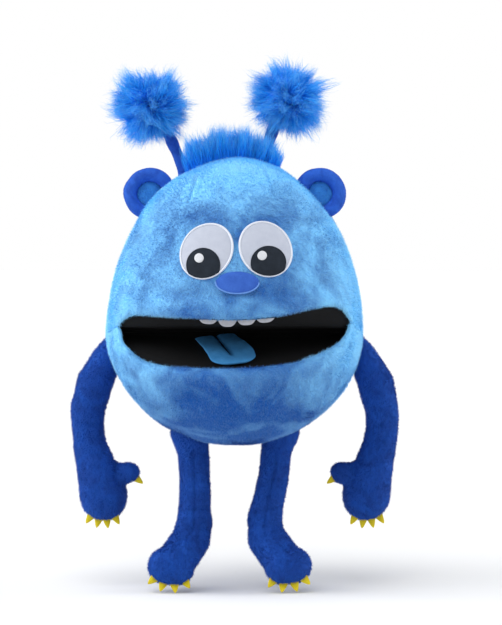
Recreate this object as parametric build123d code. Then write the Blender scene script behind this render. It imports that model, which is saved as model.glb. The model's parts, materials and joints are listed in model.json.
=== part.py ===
from build123d import *

import math
import os

# A plush hand puppet of a round monster with a moving mouth, in millimetres.
# +Z is up and the puppet faces -Y. Its own left is at +X. The origin is the centre of the round hand
# opening in its back, and +Y runs out of that opening along the puppeteer's wrist.

# Driving dimensions of the egg-shaped body. Every level cut through it is a circle.
BODY_RADIUS = 95.5
CROWN_HEIGHT = 129.0
BELLY_DEPTH = 85.5
BODY_Y = -BODY_RADIUS

# Cloth thicknesses and the slack kept between neighbouring pieces
PLUSH = 1.5
LINING = 1.2
BOARD = 1.5
SLACK = 0.3
FILL_INSET = PLUSH + 2 * SLACK

# The hand opening, the tunnel behind it and the two pockets that it leads to
OPENING_RADIUS = 38.0
CUFF_RADIUS = 41.0
CUFF_FRONT_Y = -18.0
CUFF_BACK_Y = 2.0
SLEEVE_FRONT_Y = -62.0
TUNNEL_RADIUS = CUFF_RADIUS + SLACK
FINGER_POCKET = (92.0, 58.0, 25.0)
THUMB_POCKET = (46.0, 48.0, 25.0)

# The mouth folds about a line along X, a little in front of the body's axis
FOLD_Y = BODY_Y - 18.0
TUNNEL_FRONT_Y = FOLD_Y - 4.0
FOLD_RADIUS = 1.6
FOLD_HALF_LENGTH = 88.0
PALATE_OFFSET = 2.5
UPPER_ANGLE = 6.0
LOWER_ANGLE = 20.0
JAW_BACK_ANGLE = 60.0
HEAD_BACK_ANGLE = 39.0

CROWN_SPLIT_Z = 46.0
FAR = 300.0

# Limbs are rounded tapering segments: each bend has a slack gap between two stuffed ends
ARM_ROOT_RADIUS = 8.0
ARM_RADIUS = 12.0
LEG_ROOT_RADIUS = 10.0
LEG_RADIUS = 12.0
FOOT_RADIUS = 13.5
TOE_RADIUS = 15.0
BEND_GAP = 14.5
SEAM_GAP = 1.6
CLAW_THICKNESS = 1.6

SIDES = {"right": -1, "left": 1}


# ---- helpers -------------------------------------------------------------------------------------


def oval_quarter(across, up):
    """Two tangent arcs from (across, 0) to (0, up), close to a quarter of an ellipse."""
    tall = abs(up) > across
    long = max(across, abs(up))
    short = min(across, abs(up))
    slope = math.atan2(short, long)
    half_chord = (math.hypot(long, short) - (long - short)) / 2
    mid_long = long - half_chord * math.cos(slope)
    mid_short = half_chord * math.sin(slope)
    side_centre = mid_long - mid_short * math.tan(slope)
    cap_centre = mid_short - mid_long / math.tan(slope)

    def place(along, beside):
        if tall:
            along, beside = beside, along
        return (along, math.copysign(beside, up))

    def on_side(angle):
        radius = long - side_centre
        return place(side_centre + radius * math.cos(angle), radius * math.sin(angle))

    def on_cap(angle):
        radius = short - cap_centre
        return place(radius * math.cos(angle), cap_centre + radius * math.sin(angle))

    joint = math.pi / 2 - slope
    top = math.pi / 2
    return [
        ThreePointArc(on_side(0), on_side(joint / 2), on_side(joint)),
        ThreePointArc(on_side(joint), on_cap((joint + top) / 2), on_cap(top)),
    ]


def egg(inset=0.0):
    """The body's outer shape, every half axis shorter by inset, turned about its upright axis."""
    radius = BODY_RADIUS - inset
    crown = CROWN_HEIGHT - inset
    belly = BELLY_DEPTH - inset
    outline = oval_quarter(radius, crown) + oval_quarter(radius, -belly) + [Line((0, crown), (0, -belly))]
    return Pos(0, BODY_Y, 0) * revolve(Plane.XZ * make_face(outline), Axis.Z)


def egg_point(x, y_behind_axis, above):
    """A point on the body's surface and the outward normal there, from its X and its Y behind the axis."""
    height = CROWN_HEIGHT if above else -BELLY_DEPTH
    z = height * math.sqrt(1 - (x * x + y_behind_axis * y_behind_axis) / BODY_RADIUS**2)
    normal = Vector(x / BODY_RADIUS**2, y_behind_axis / BODY_RADIUS**2, z / height**2).normalized()
    return Vector(x, BODY_Y + y_behind_axis, z), normal


def side_prism(*corners):
    """A prism right across the puppet, from (y, z) corners."""
    return extrude(Plane.YZ * make_face(Polyline(*corners, close=True)), FAR, both=True)


def from_fold(angle, distance=FAR, offset=0.0):
    """A (y, z) place at a distance from the fold line, angle degrees above straight ahead."""
    turn = math.radians(angle)
    y = FOLD_Y - distance * math.cos(turn) + offset * math.sin(turn)
    return (y, distance * math.sin(turn) + offset * math.cos(turn))


def tilted(shape, angle):
    """A shape drawn for level palates, turned about the fold line by angle degrees, front up."""
    return shape.rotate(Axis((0, FOLD_Y, 0), (1, 0, 0)), -angle)


def capsule(start, end, start_radius, end_radius):
    """Two balls and the cone that touches both, as one solid."""
    start = Vector(*start)
    end = Vector(*end)
    length = (end - start).length
    lean = math.asin((start_radius - end_radius) / length)

    def rim(centre, radius, angle):
        return (centre + radius * math.sin(angle), radius * math.cos(angle))

    start_mid = rim(0, start_radius, (lean - math.pi / 2) / 2)
    end_mid = rim(length, end_radius, (lean + math.pi / 2) / 2)
    outline = [
        ThreePointArc((-start_radius, 0), start_mid, rim(0, start_radius, lean)),
        Line(rim(0, start_radius, lean), rim(length, end_radius, lean)),
        ThreePointArc(rim(length, end_radius, lean), end_mid, (length + end_radius, 0)),
        Line((length + end_radius, 0), (-start_radius, 0)),
    ]
    solid = revolve(make_face(outline), Axis.X)
    across = Vector(0, 1, 0)
    return Plane(origin=start, x_dir=end - start, z_dir=(end - start).cross(across)) * solid


def shell_and_fill(shape):
    """A plush skin and the fibre inside it, from a function that draws a shape at an inset."""
    return shape(0) - shape(PLUSH), shape(PLUSH + SLACK)


def pocket(size, wall):
    """A flat cloth pocket with an open back: (cloth, outer shape). It is drawn for a level palate."""
    width, depth, height = size
    back = -PALATE_OFFSET - LINING - BOARD

    def block(inset, back_extra):
        plan = Rectangle(width - 2 * inset, depth - inset + back_extra, align=(Align.CENTER, Align.MAX))
        plan = Pos(0, FOLD_Y + back + back_extra) * plan
        front = plan.vertices().group_by(Axis.Y)[0]
        plan = fillet(front, width * 0.35 - inset)
        low = PALATE_OFFSET + LINING + BOARD + 3 * SLACK + inset
        return Pos(0, 0, low) * extrude(plan, height - 2 * inset)

    return block(0, 0) - block(wall, 20.0), block(-SLACK, 20.0)


def palate_slab(low, high):
    """The space between two heights over a level palate, in front of the fold."""
    front = FOLD_Y - FAR
    back = FOLD_Y - FOLD_RADIUS - 2 * SLACK
    return side_prism((front, low), (back, low), (back, high), (front, high))


def ring(inner, outer, front_y, back_y):
    """A round wall about the opening's axis."""
    wall = Cylinder(outer, back_y - front_y) - Cylinder(inner, back_y - front_y)
    return Pos(0, (front_y + back_y) / 2, 0) * (Rot(90, 0, 0) * wall)


def patch(outline, x, z, low, high):
    """A thin patch on the face that follows the body's surface, between two heights over it."""
    prism = Pos(x, BODY_Y, z) * extrude(Plane.XZ * outline, FAR)
    return (egg(-high) - egg(-low)) & prism


def claw(width, length):
    """A flat felt triangle that points down, its base on the origin's level."""
    outline = Polyline((-width / 2, 0), (width / 2, 0), (0, -length), close=True)
    return extrude(Plane.XZ * make_face(outline), CLAW_THICKNESS / 2, both=True)


parts = {}

# ---- the cuts that part the head from the jaw ----------------------------------------------------

head_space = side_prism(
    from_fold(UPPER_ANGLE, FAR, PALATE_OFFSET),
    from_fold(UPPER_ANGLE, 0, PALATE_OFFSET),
    from_fold(180 + HEAD_BACK_ANGLE, FAR, -PALATE_OFFSET),
    (FAR, FAR),
    (-2 * FAR, FAR),
)
jaw_space = side_prism(
    from_fold(-LOWER_ANGLE, FAR, -PALATE_OFFSET),
    from_fold(-LOWER_ANGLE, 0, -PALATE_OFFSET),
    from_fold(180 + JAW_BACK_ANGLE, FAR, PALATE_OFFSET),
    (0, -FAR),
    (-2 * FAR, -FAR),
)
tunnel = Pos(0, TUNNEL_FRONT_Y, 0) * extrude(Plane.XZ * Circle(TUNNEL_RADIUS), TUNNEL_FRONT_Y - 20.0)
fill_egg = egg(FILL_INSET)

# ---- head ----------------------------------------------------------------------------------------


def head():
    """The plush cover, the fibre in three masses, and what the hand goes into."""
    cover = (egg() - egg(PLUSH)) & head_space
    parts["head_skin"] = cover - tunnel

    cloth, hollow = pocket(FINGER_POCKET, LINING)
    parts["finger_pocket"] = tilted(cloth, UPPER_ANGLE)
    hollow = tilted(hollow, UPPER_ANGLE)

    above_board = PALATE_OFFSET + LINING + BOARD + 3 * SLACK
    over_palate = side_prism(
        from_fold(UPPER_ANGLE, FAR, above_board),
        from_fold(UPPER_ANGLE, 0, above_board),
        (FOLD_Y, CROWN_SPLIT_Z - SLACK),
        (-FAR, CROWN_SPLIT_Z - SLACK),
    )
    ahead = side_prism((FOLD_Y, -FAR), (-FAR, -FAR), (-FAR, FAR), (FOLD_Y, FAR))
    behind = side_prism((FOLD_Y + SLACK, -FAR), (FAR, -FAR), (FAR, CROWN_SPLIT_Z), (FOLD_Y + SLACK, CROWN_SPLIT_Z))
    above = side_prism((-FAR, CROWN_SPLIT_Z), (FAR, CROWN_SPLIT_Z), (FAR, FAR), (-FAR, FAR))
    under_crown = Pos(0, BODY_Y, CROWN_SPLIT_Z - SLACK - FAR / 2) * Box(FAR, FAR, FAR)
    parts["crown_stuffing"] = fill_egg & above
    parts["muzzle_stuffing"] = ((fill_egg & over_palate) & ahead) - hollow
    parts["back_stuffing"] = ((((fill_egg & head_space) & behind) & under_crown) - tunnel) - hollow

    parts["opening_cuff"] = ring(OPENING_RADIUS, CUFF_RADIUS, CUFF_FRONT_Y, CUFF_BACK_Y)
    parts["palm_sleeve"] = ring(CUFF_RADIUS - LINING, CUFF_RADIUS, SLEEVE_FRONT_Y, CUFF_FRONT_Y - SLACK)


def palate(name, board_name, angle, side):
    """The black lining of one half of the mouth and the stiff board behind it."""
    low = PALATE_OFFSET
    lining = palate_slab(side * low, side * (low + LINING))
    board = palate_slab(side * (low + LINING + SLACK), side * (low + LINING + SLACK + BOARD))
    rim = FILL_INSET + 0.2
    parts[name] = tilted(lining, angle) & egg(rim)
    parts[board_name] = tilted(board, angle) & egg(rim + 8)


def mouth():
    """Both palates, the cloth fold between them, and the felt teeth under the upper lip."""
    palate("upper_palate", "upper_mouth_board", UPPER_ANGLE, 1)
    palate("lower_palate", "lower_mouth_board", -LOWER_ANGLE, -1)
    fold = Rot(0, 90, 0) * Cylinder(FOLD_RADIUS, 2 * FOLD_HALF_LENGTH)
    parts["mouth_fold"] = Pos(0, FOLD_Y, 0) * fold

    tooth_pitch = 14.6
    tooth_width = 13.4
    tooth_length = 6.0
    tooth_y = -180.0
    teeth_centre_x = 2.0
    tooth = Rectangle(tooth_width, tooth_length, align=(Align.CENTER, Align.MAX))
    tooth = fillet(tooth.vertices().group_by(Axis.Y)[0], 3.5)
    tooth = extrude(Plane.XZ * tooth, 0.7, both=True)
    row = [Pos(teeth_centre_x + (i - 1.5) * tooth_pitch, tooth_y, PALATE_OFFSET - SLACK) * tooth for i in range(4)]
    parts["teeth"] = tilted(Compound(children=row), UPPER_ANGLE)


def face():
    """Eyes and nose: cloth patches laid on the muzzle, each on top of the last."""
    eyes = {"right": (-21.0, 60.0, -22.8, 51.0, -26.3, 55.7), "left": (23.5, 61.0, 25.1, 52.5, 21.2, 57.6)}
    nose_outline = Pos(2.2, 38.6) * Ellipse(16.2, 8.0)
    for side, (x, z, pupil_x, pupil_z, glint_x, glint_z) in eyes.items():
        parts[f"{side}_eye_white"] = patch(Ellipse(19.8, 20.8), x, z, SLACK, 1.4)
        parts[f"{side}_pupil"] = patch(Ellipse(12.8, 11.6), pupil_x, pupil_z, 1.7, 2.5)
        parts[f"{side}_eye_glint"] = patch(Circle(3.3), glint_x, glint_z, 2.8, 3.3)
        nose_outline -= Pos(x, z) * Ellipse(19.8 + SLACK, 20.8 + SLACK)
    parts["nose"] = patch(nose_outline, 0.0, 0.0, SLACK, 1.8)


def ears():
    """Round stuffed ears on the side seam, each with a paler round lining in its front."""
    ear_radius = 20.0
    ear_thickness = 12.0
    ear_z = 102.3
    for side, sign in SIDES.items():
        place = Pos(sign * 63.5, BODY_Y, ear_z) * Rot(90, 0, 0)

        def disc(inset, place=place):
            solid = Cylinder(ear_radius - inset, ear_thickness - 2 * inset)
            return place * fillet(solid.edges().filter_by(GeomType.CIRCLE), 4.5 - inset)

        cover = disc(0) - disc(PLUSH)
        parts[f"{side}_ear"] = cover - egg(-SLACK)
        parts[f"{side}_ear_stuffing"] = disc(PLUSH + SLACK) - egg(-SLACK)
        lining = Pos(0, 0, ear_thickness / 2 + SLACK + 0.4) * Cylinder(8.5, 0.8)
        parts[f"{side}_ear_lining"] = (place * lining) - egg(-SLACK)


def hair():
    """The long fur strip that stands along the crown, from side to side."""
    strip = Pos(-1.0, BODY_Y + 2.0, CROWN_HEIGHT) * Box(78.0, 11.0, 2 * CROWN_HEIGHT)
    upper = Pos(0, BODY_Y, CROWN_HEIGHT) * Box(FAR, FAR, 2 * CROWN_HEIGHT - 80)
    parts["hair_tuft"] = ((egg(-22) - egg(-SLACK)) & strip) & upper


def antennae():
    """A stuffed stalk and a fur pompom on each side of the crown, behind the hair."""
    stalk_radius = 4.2
    pompom_radius = 28.0
    core_radius = 13.0
    roots = {"right": (-36.0, (-64.0, 168.5)), "left": (20.0, (40.3, 173.5))}
    pivots = {}
    for side, (root_x, (ball_x, ball_z)) in roots.items():
        point, normal = egg_point(root_x, 18.5, above=True)
        root = point + normal * (stalk_radius + SEAM_GAP)
        ball = Vector(ball_x, root.Y, ball_z)
        along = (ball - root).normalized()
        tip = ball - along * (core_radius + stalk_radius + 2 * SLACK)

        def stalk(inset, root=root, tip=tip):
            return capsule(root, tip, stalk_radius - inset, stalk_radius - inset)

        skin, fill = shell_and_fill(stalk)
        parts[f"{side}_antenna_sleeve"] = skin
        parts[f"{side}_antenna_stuffing"] = fill
        hole = Cylinder(stalk_radius + SLACK, 2 * pompom_radius, align=(Align.CENTER, Align.CENTER, Align.MAX))
        fur = (Sphere(pompom_radius) - hole) - Sphere(core_radius + SLACK)
        parts[f"{side}_pompom_fur"] = Plane(origin=ball, z_dir=along) * fur
        parts[f"{side}_pompom_stuffing"] = Pos(ball) * Sphere(core_radius)
        pivots[side] = root
    return pivots


# ---- jaw -----------------------------------------------------------------------------------------


def jaw():
    """The lower half of the body: cover, fibre and the pocket for the thumb."""
    parts["jaw_skin"] = ((egg() - egg(PLUSH)) & jaw_space) - tunnel
    level_cloth, level_hollow = pocket(THUMB_POCKET, LINING)
    cloth = mirror(level_cloth, Plane.XY)
    hollow = mirror(level_hollow, Plane.XY)
    parts["thumb_pocket"] = tilted(cloth, -LOWER_ANGLE)
    below_board = PALATE_OFFSET + LINING + BOARD + 3 * SLACK
    under_palate = side_prism(
        from_fold(-LOWER_ANGLE, FAR, -below_board),
        from_fold(-LOWER_ANGLE, 0, -below_board),
        from_fold(180 + JAW_BACK_ANGLE, FAR, PALATE_OFFSET),
        (0, -FAR),
        (-2 * FAR, -FAR),
    )
    parts["jaw_stuffing"] = ((fill_egg & under_palate) - tunnel) - tilted(hollow, -LOWER_ANGLE)


def tongue():
    """A flat stuffed tongue that lies on the lower palate, rooted near the fold."""
    width = 34.0
    length = 60.0
    thickness = 3.4
    plan = Rectangle(width, length, align=(Align.CENTER, Align.MAX))
    plan = fillet(plan.vertices().group_by(Axis.Y)[0], width / 2 - 0.2)
    body = extrude(plan, thickness)
    body = Pos(-11.0, FOLD_Y - 4.0, -PALATE_OFFSET + SLACK) * (Rot(0, 0, 9) * body)
    front = Pos(0, FOLD_Y - 4.0 - FAR / 2, 0) * Box(FAR, FAR, FAR)
    parts["tongue"] = tilted(body & front, -LOWER_ANGLE)


# ---- limbs ---------------------------------------------------------------------------------------


def arms():
    """Arms that hang from the side seams: upper arm, then forearm with hand, thumb and claws."""
    claw_angles = (-13, 13, 38, 60)
    pivots = {}
    for side, sign in SIDES.items():
        x_behind = 25.0
        surface_x = BODY_RADIUS * math.sqrt(1 - (x_behind / BODY_RADIUS) ** 2 - (24.0 / BELLY_DEPTH) ** 2)
        normal = Vector(surface_x / BODY_RADIUS**2, x_behind / BODY_RADIUS**2, -24.0 / BELLY_DEPTH**2).normalized()
        root = Vector(surface_x, BODY_Y + x_behind, -24.0) + normal * (ARM_ROOT_RADIUS + SEAM_GAP)
        elbow = Vector(108.5, root.Y, -70.5)
        wrist = Vector(105.0, root.Y - 3, -96.0)
        palm_top = Vector(97.5, root.Y - 5, -112.0)
        palm_end = Vector(96.5, root.Y - 6, -125.0)
        thumb_root = Vector(90.0, root.Y - 7, -107.5)
        thumb_end = Vector(79.5, root.Y - 8, -109.0)
        palm_radius = 16.5

        def on_side(point, sign=sign):
            return (sign * point.X, point.Y, point.Z)

        up = (root - elbow).normalized()
        down = (wrist - elbow).normalized()
        upper_end = on_side(elbow + up * BEND_GAP)
        fore_start = on_side(elbow + down * BEND_GAP)

        def upper(inset, start=on_side(root), end=upper_end):
            return capsule(start, end, ARM_ROOT_RADIUS - inset, ARM_RADIUS - inset)

        def fore(inset, start=fore_start, on_side=on_side):
            arm = capsule(start, on_side(wrist), ARM_RADIUS - inset, ARM_RADIUS - inset)
            heel = capsule(on_side(wrist), on_side(palm_top), ARM_RADIUS - inset, palm_radius - inset)
            palm = capsule(on_side(palm_top), on_side(palm_end), palm_radius - inset, palm_radius - inset)
            thumb = capsule(on_side(thumb_root), on_side(thumb_end), 8.0 - inset, 7.5 - inset)
            return arm + heel + palm + thumb

        parts[f"{side}_upper_arm_skin"], parts[f"{side}_upper_arm_stuffing"] = shell_and_fill(upper)
        parts[f"{side}_forearm_skin"], parts[f"{side}_forearm_stuffing"] = shell_and_fill(fore)

        claws = []
        for angle in claw_angles:
            one = Rot(0, sign * angle, 0) * (Pos(0, 0, -palm_radius - 0.8) * claw(7.0, 5.8))
            claws.append(Pos(on_side(palm_end)) * one)
        thumb_claw = Rot(0, sign * 60, 0) * (Pos(0, 0, -7.5 - 1.2) * claw(5.5, 5.5))
        claws.append(Pos(on_side(thumb_end)) * thumb_claw)
        parts[f"{side}_hand_claws"] = Compound(children=claws)
        pivots[side] = {"shoulder": on_side(root), "elbow": on_side(elbow)}
    return pivots


def legs():
    """Legs that hang from the belly: leg, then foot with claws. The left one bows in at the ankle."""
    places = {
        "right": {"ankle": (-30.7, -146.0), "heel": (-32.5, -160.0), "toe": (-46.0, -175.5)},
        "left": {"ankle": (21.5, -146.0), "heel": (24.0, -160.0), "toe": (39.5, -175.5)},
    }
    hip_x = 32.0
    toe_forward = 26.0
    pivots = {}
    for side, sign in SIDES.items():
        point, normal = egg_point(sign * hip_x, 0.0, above=False)
        root = point + normal * (LEG_ROOT_RADIUS + SEAM_GAP)
        place = places[side]
        ankle = Vector(place["ankle"][0], root.Y, place["ankle"][1])
        heel = (place["heel"][0], root.Y - 5, place["heel"][1] - 1.0)
        toe = (place["toe"][0], root.Y - toe_forward, place["toe"][1])
        leg_end = ankle + (root - ankle).normalized() * BEND_GAP

        def leg(inset, start=root, end=leg_end):
            return capsule(start, end, LEG_ROOT_RADIUS - inset, LEG_RADIUS - inset)

        def foot(inset, heel=heel, toe=toe):
            return capsule(heel, toe, FOOT_RADIUS - inset, TOE_RADIUS - inset)

        parts[f"{side}_leg_skin"], parts[f"{side}_leg_stuffing"] = shell_and_fill(leg)
        parts[f"{side}_foot_skin"], parts[f"{side}_foot_stuffing"] = shell_and_fill(foot)
        claws = []
        for angle in (-42, -14, 14, 42):
            one = Rot(0, angle, 0) * (Pos(0, 0, -TOE_RADIUS - 0.6) * claw(7.0, 6.0))
            claws.append(Pos(toe) * one)
        parts[f"{side}_foot_claws"] = Compound(children=claws)
        pivots[side] = {"hip": tuple(root), "ankle": tuple(ankle)}
    return pivots


# ---- build and write -----------------------------------------------------------------------------

head()
mouth()
face()
ears()
hair()
antenna_pivots = antennae()
jaw()
tongue()
arm_pivots = arms()
leg_pivots = legs()

os.makedirs("parts", exist_ok=True)
for name, shape in parts.items():
    export_step(shape, f"parts/{name}.step")

print("fold", (0, FOLD_Y, 0))
for side in SIDES:
    print(side, "antenna", tuple(antenna_pivots[side]), arm_pivots[side], leg_pivots[side])
print(len(parts), "sub-parts")
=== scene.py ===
"""The look of a plush hand puppet: a round monster with a moving mouth, furry antennae and long limbs.

Everything is in metres. The puppet faces -Y, its own left is at +X and +Z is up.
"""

import json
import logging
import math
from collections.abc import Callable
from dataclasses import dataclass, field
from enum import Enum
from functools import partial

import bpy
import numpy as np
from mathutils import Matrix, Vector

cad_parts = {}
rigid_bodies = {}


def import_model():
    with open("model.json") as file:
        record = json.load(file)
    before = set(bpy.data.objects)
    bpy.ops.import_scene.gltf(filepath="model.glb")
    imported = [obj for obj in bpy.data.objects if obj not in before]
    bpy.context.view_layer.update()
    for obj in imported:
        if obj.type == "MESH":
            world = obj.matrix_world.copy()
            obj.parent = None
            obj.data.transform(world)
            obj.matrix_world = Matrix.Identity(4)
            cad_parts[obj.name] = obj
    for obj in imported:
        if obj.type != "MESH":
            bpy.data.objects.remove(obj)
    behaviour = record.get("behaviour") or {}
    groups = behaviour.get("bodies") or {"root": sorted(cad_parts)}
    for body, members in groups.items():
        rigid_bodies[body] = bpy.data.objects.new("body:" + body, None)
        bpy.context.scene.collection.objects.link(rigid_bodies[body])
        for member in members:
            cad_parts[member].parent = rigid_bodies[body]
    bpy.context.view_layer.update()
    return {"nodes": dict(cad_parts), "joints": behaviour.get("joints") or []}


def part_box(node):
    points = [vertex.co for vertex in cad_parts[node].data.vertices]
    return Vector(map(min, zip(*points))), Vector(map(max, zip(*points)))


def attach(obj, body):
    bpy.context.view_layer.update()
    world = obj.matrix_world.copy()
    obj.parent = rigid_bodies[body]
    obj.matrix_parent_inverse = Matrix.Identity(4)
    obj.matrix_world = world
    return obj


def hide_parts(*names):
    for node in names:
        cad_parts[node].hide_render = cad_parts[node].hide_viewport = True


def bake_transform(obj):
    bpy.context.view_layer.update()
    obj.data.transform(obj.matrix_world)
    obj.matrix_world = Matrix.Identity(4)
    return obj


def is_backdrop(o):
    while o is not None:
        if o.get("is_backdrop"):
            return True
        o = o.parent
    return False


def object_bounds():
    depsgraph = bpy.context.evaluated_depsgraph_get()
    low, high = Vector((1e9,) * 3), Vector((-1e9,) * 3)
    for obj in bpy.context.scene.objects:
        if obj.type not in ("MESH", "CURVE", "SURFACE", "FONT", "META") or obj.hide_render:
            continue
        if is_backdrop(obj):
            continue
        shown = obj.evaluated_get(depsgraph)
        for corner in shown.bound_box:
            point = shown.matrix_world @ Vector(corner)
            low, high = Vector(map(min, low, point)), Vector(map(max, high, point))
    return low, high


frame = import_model()

MM = 0.001
TURN = 2 * math.pi
log = logging.getLogger("puppet")


class Side(Enum):
    """The puppet's two sides, with the sign of X on each."""

    RIGHT = -1
    LEFT = 1

    @property
    def word(self) -> str:
        """The side's name as it stands in the names of pieces."""
        return self.name.lower()


# ---- small mathematics -----------------------------------------------------------------------------


def unit(vectors: np.ndarray) -> np.ndarray:
    """The same vectors, each of length one."""
    return vectors / np.maximum(np.linalg.norm(vectors, axis=-1, keepdims=True), 1e-12)


def ease(low: float, high: float, value: np.ndarray) -> np.ndarray:
    """A smooth step from 0 at low to 1 at high."""
    t = np.clip((value - low) / (high - low), 0, 1)
    return t * t * (3 - 2 * t)


def bump(value: np.ndarray, width: float) -> np.ndarray:
    """A smooth bump of height one where value is zero, about width wide each way."""
    return np.exp(-((value / width) ** 2))


def through(knots: tuple, at: np.ndarray) -> np.ndarray:
    """A smooth line through given knots that never swings past them.

    Args:
        knots: (place, value) pairs in rising order of place.
        at: the places to read it at.

    Returns:
        The value at each place, held at the end knots' values beyond them.
    """
    x, y = np.array(knots, float).T
    step = np.diff(x)
    slope = np.diff(y) / step
    product = slope[:-1] * slope[1:]
    total = slope[:-1] + slope[1:]
    inner = np.where(product > 0, 2 * product / np.where(product > 0, total, 1), 0)
    tangent = np.concatenate([[slope[0]], inner, [slope[-1]]])
    i = np.clip(np.searchsorted(x, at, side="right") - 1, 0, len(step) - 1)
    t = np.clip((at - x[i]) / step[i], 0, 1)
    start = (1 + 2 * t) * (1 - t) ** 2 * y[i] + t * (1 - t) ** 2 * step[i] * tangent[i]
    return start + t * t * (3 - 2 * t) * y[i + 1] + t * t * (t - 1) * step[i] * tangent[i + 1]


def waves(points: np.ndarray, size: float, seed: int, count: int = 18) -> np.ndarray:
    """Gentle seeded unevenness through space, about -1 to 1, with lumps of about the given size."""
    rng = np.random.default_rng(seed)
    direction = unit(rng.normal(size=(count, 3)))
    pitch = size * rng.uniform(0.8, 1.9, count)
    phase = rng.uniform(0, TURN, count)
    return np.sin(TURN * (points @ direction.T) / pitch + phase).sum(axis=-1) / math.sqrt(2 * count)


def wave_vectors(points: np.ndarray, size: float, seed: int) -> np.ndarray:
    """Three independent fields of unevenness as vectors."""
    return np.stack([waves(points, size, seed + i) for i in range(3)], axis=-1)


def line_distance(points: np.ndarray, line: np.ndarray) -> np.ndarray:
    """The distance of each point from a line given by its corners."""
    best = np.full(len(points), np.inf)
    for start, end in zip(line[:-1], line[1:]):
        along = end - start
        t = np.clip(((points - start) @ along) / (along @ along), 0, 1)
        best = np.minimum(best, np.linalg.norm(points - start - t[:, None] * along, axis=1))
    return best


# ---- meshes ------------------------------------------------------------------------------------------


def grid_faces(rows: int, columns: int, closed: bool = True) -> np.ndarray:
    """The quads of a grid of points laid out row by row, closed round each row if asked."""
    i = np.arange(rows - 1)[:, None] * columns
    j = np.arange(columns if closed else columns - 1)[None, :]
    k = (j + 1) % columns
    return np.stack([i + j, i + k, i + columns + k, i + columns + j], axis=-1).reshape(-1, 4)


def cap_faces(first: int, columns: int, pole: int) -> np.ndarray:
    """The triangles from one closed row of points to a pole."""
    j = np.arange(columns)
    return np.stack([first + j, first + (j + 1) % columns, np.full(columns, pole)], axis=-1)


def make_piece(name: str, points: np.ndarray, face_sets: list, finish: "Finish") -> bpy.types.Object:
    """A mesh object from points and sets of faces.

    Args:
        name: the piece's name.
        points: its points.
        face_sets: arrays of faces, each with one number of corners.
        finish: what its material comes from.

    Returns:
        The new object, shaded smooth.
    """
    mesh = bpy.data.meshes.new(name)
    loops = np.concatenate([f.ravel() for f in face_sets]).astype(np.int32)
    sizes = np.concatenate([np.full(len(f), f.shape[1]) for f in face_sets])
    mesh.vertices.add(len(points))
    mesh.vertices.foreach_set("co", np.ascontiguousarray(points, np.float32).ravel())
    mesh.loops.add(len(loops))
    mesh.loops.foreach_set("vertex_index", loops)
    mesh.polygons.add(len(sizes))
    mesh.polygons.foreach_set("loop_start", np.concatenate([[0], np.cumsum(sizes)[:-1]]).astype(np.int32))
    mesh.update(calc_edges=True)
    mesh.shade_smooth()
    mesh.materials.append(finish.material())
    piece = bpy.data.objects.new(name, mesh)
    bpy.context.scene.collection.objects.link(piece)
    return piece


def set_point_values(piece: bpy.types.Object, **values: np.ndarray) -> None:
    """Stores one number per point under each name, for the material to read."""
    for name, value in values.items():
        layer = piece.data.attributes.new(name, "FLOAT", "POINT")
        layer.data.foreach_set("value", np.ascontiguousarray(value, np.float32).ravel())


def tube(line: np.ndarray, radius: np.ndarray | float, sides: int, closed: bool = False) -> tuple:
    """A tube along a line.

    Args:
        line: points along its middle.
        radius: one radius, one for each point, or one for each point and side.
        sides: how many points go round it.
        closed: whether the line meets its own start.

    Returns:
        The tube's points and its list of face sets.
    """
    if closed:
        forward = unit(np.roll(line, -1, 0) - np.roll(line, 1, 0))
    else:
        forward = unit(np.gradient(line, axis=0))
    guide = np.array([0.0, 1.0, 0.0])
    across = unit(np.cross(forward, guide) + 1e-9)
    over = np.cross(across, forward)
    angle = np.arange(sides) * TURN / sides
    if np.ndim(radius) == 1:
        radius = np.asarray(radius, float).reshape(-1, 1)
    reach = np.broadcast_to(radius, (len(line), sides))
    ring = across[:, None] * np.cos(angle)[None, :, None] + over[:, None] * np.sin(angle)[None, :, None]
    points = (line[:, None] + ring * reach[..., None]).reshape(-1, 3)
    faces = grid_faces(len(line), sides)
    if closed:
        last = (len(line) - 1) * sides
        j = np.arange(sides)
        k = (j + 1) % sides
        faces = np.concatenate([faces, np.stack([last + j, last + k, k, j], axis=-1)])
        return points, [faces]
    points = np.concatenate([points, line[:1], line[-1:]])
    start = cap_faces(0, sides, len(points) - 2)[:, ::-1]
    return points, [faces, start, cap_faces((len(line) - 1) * sides, sides, len(points) - 1)]


LUMP_SIDES = 20
LUMP_ROWS = 8
LUMP_HOLE = 0.05


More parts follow.
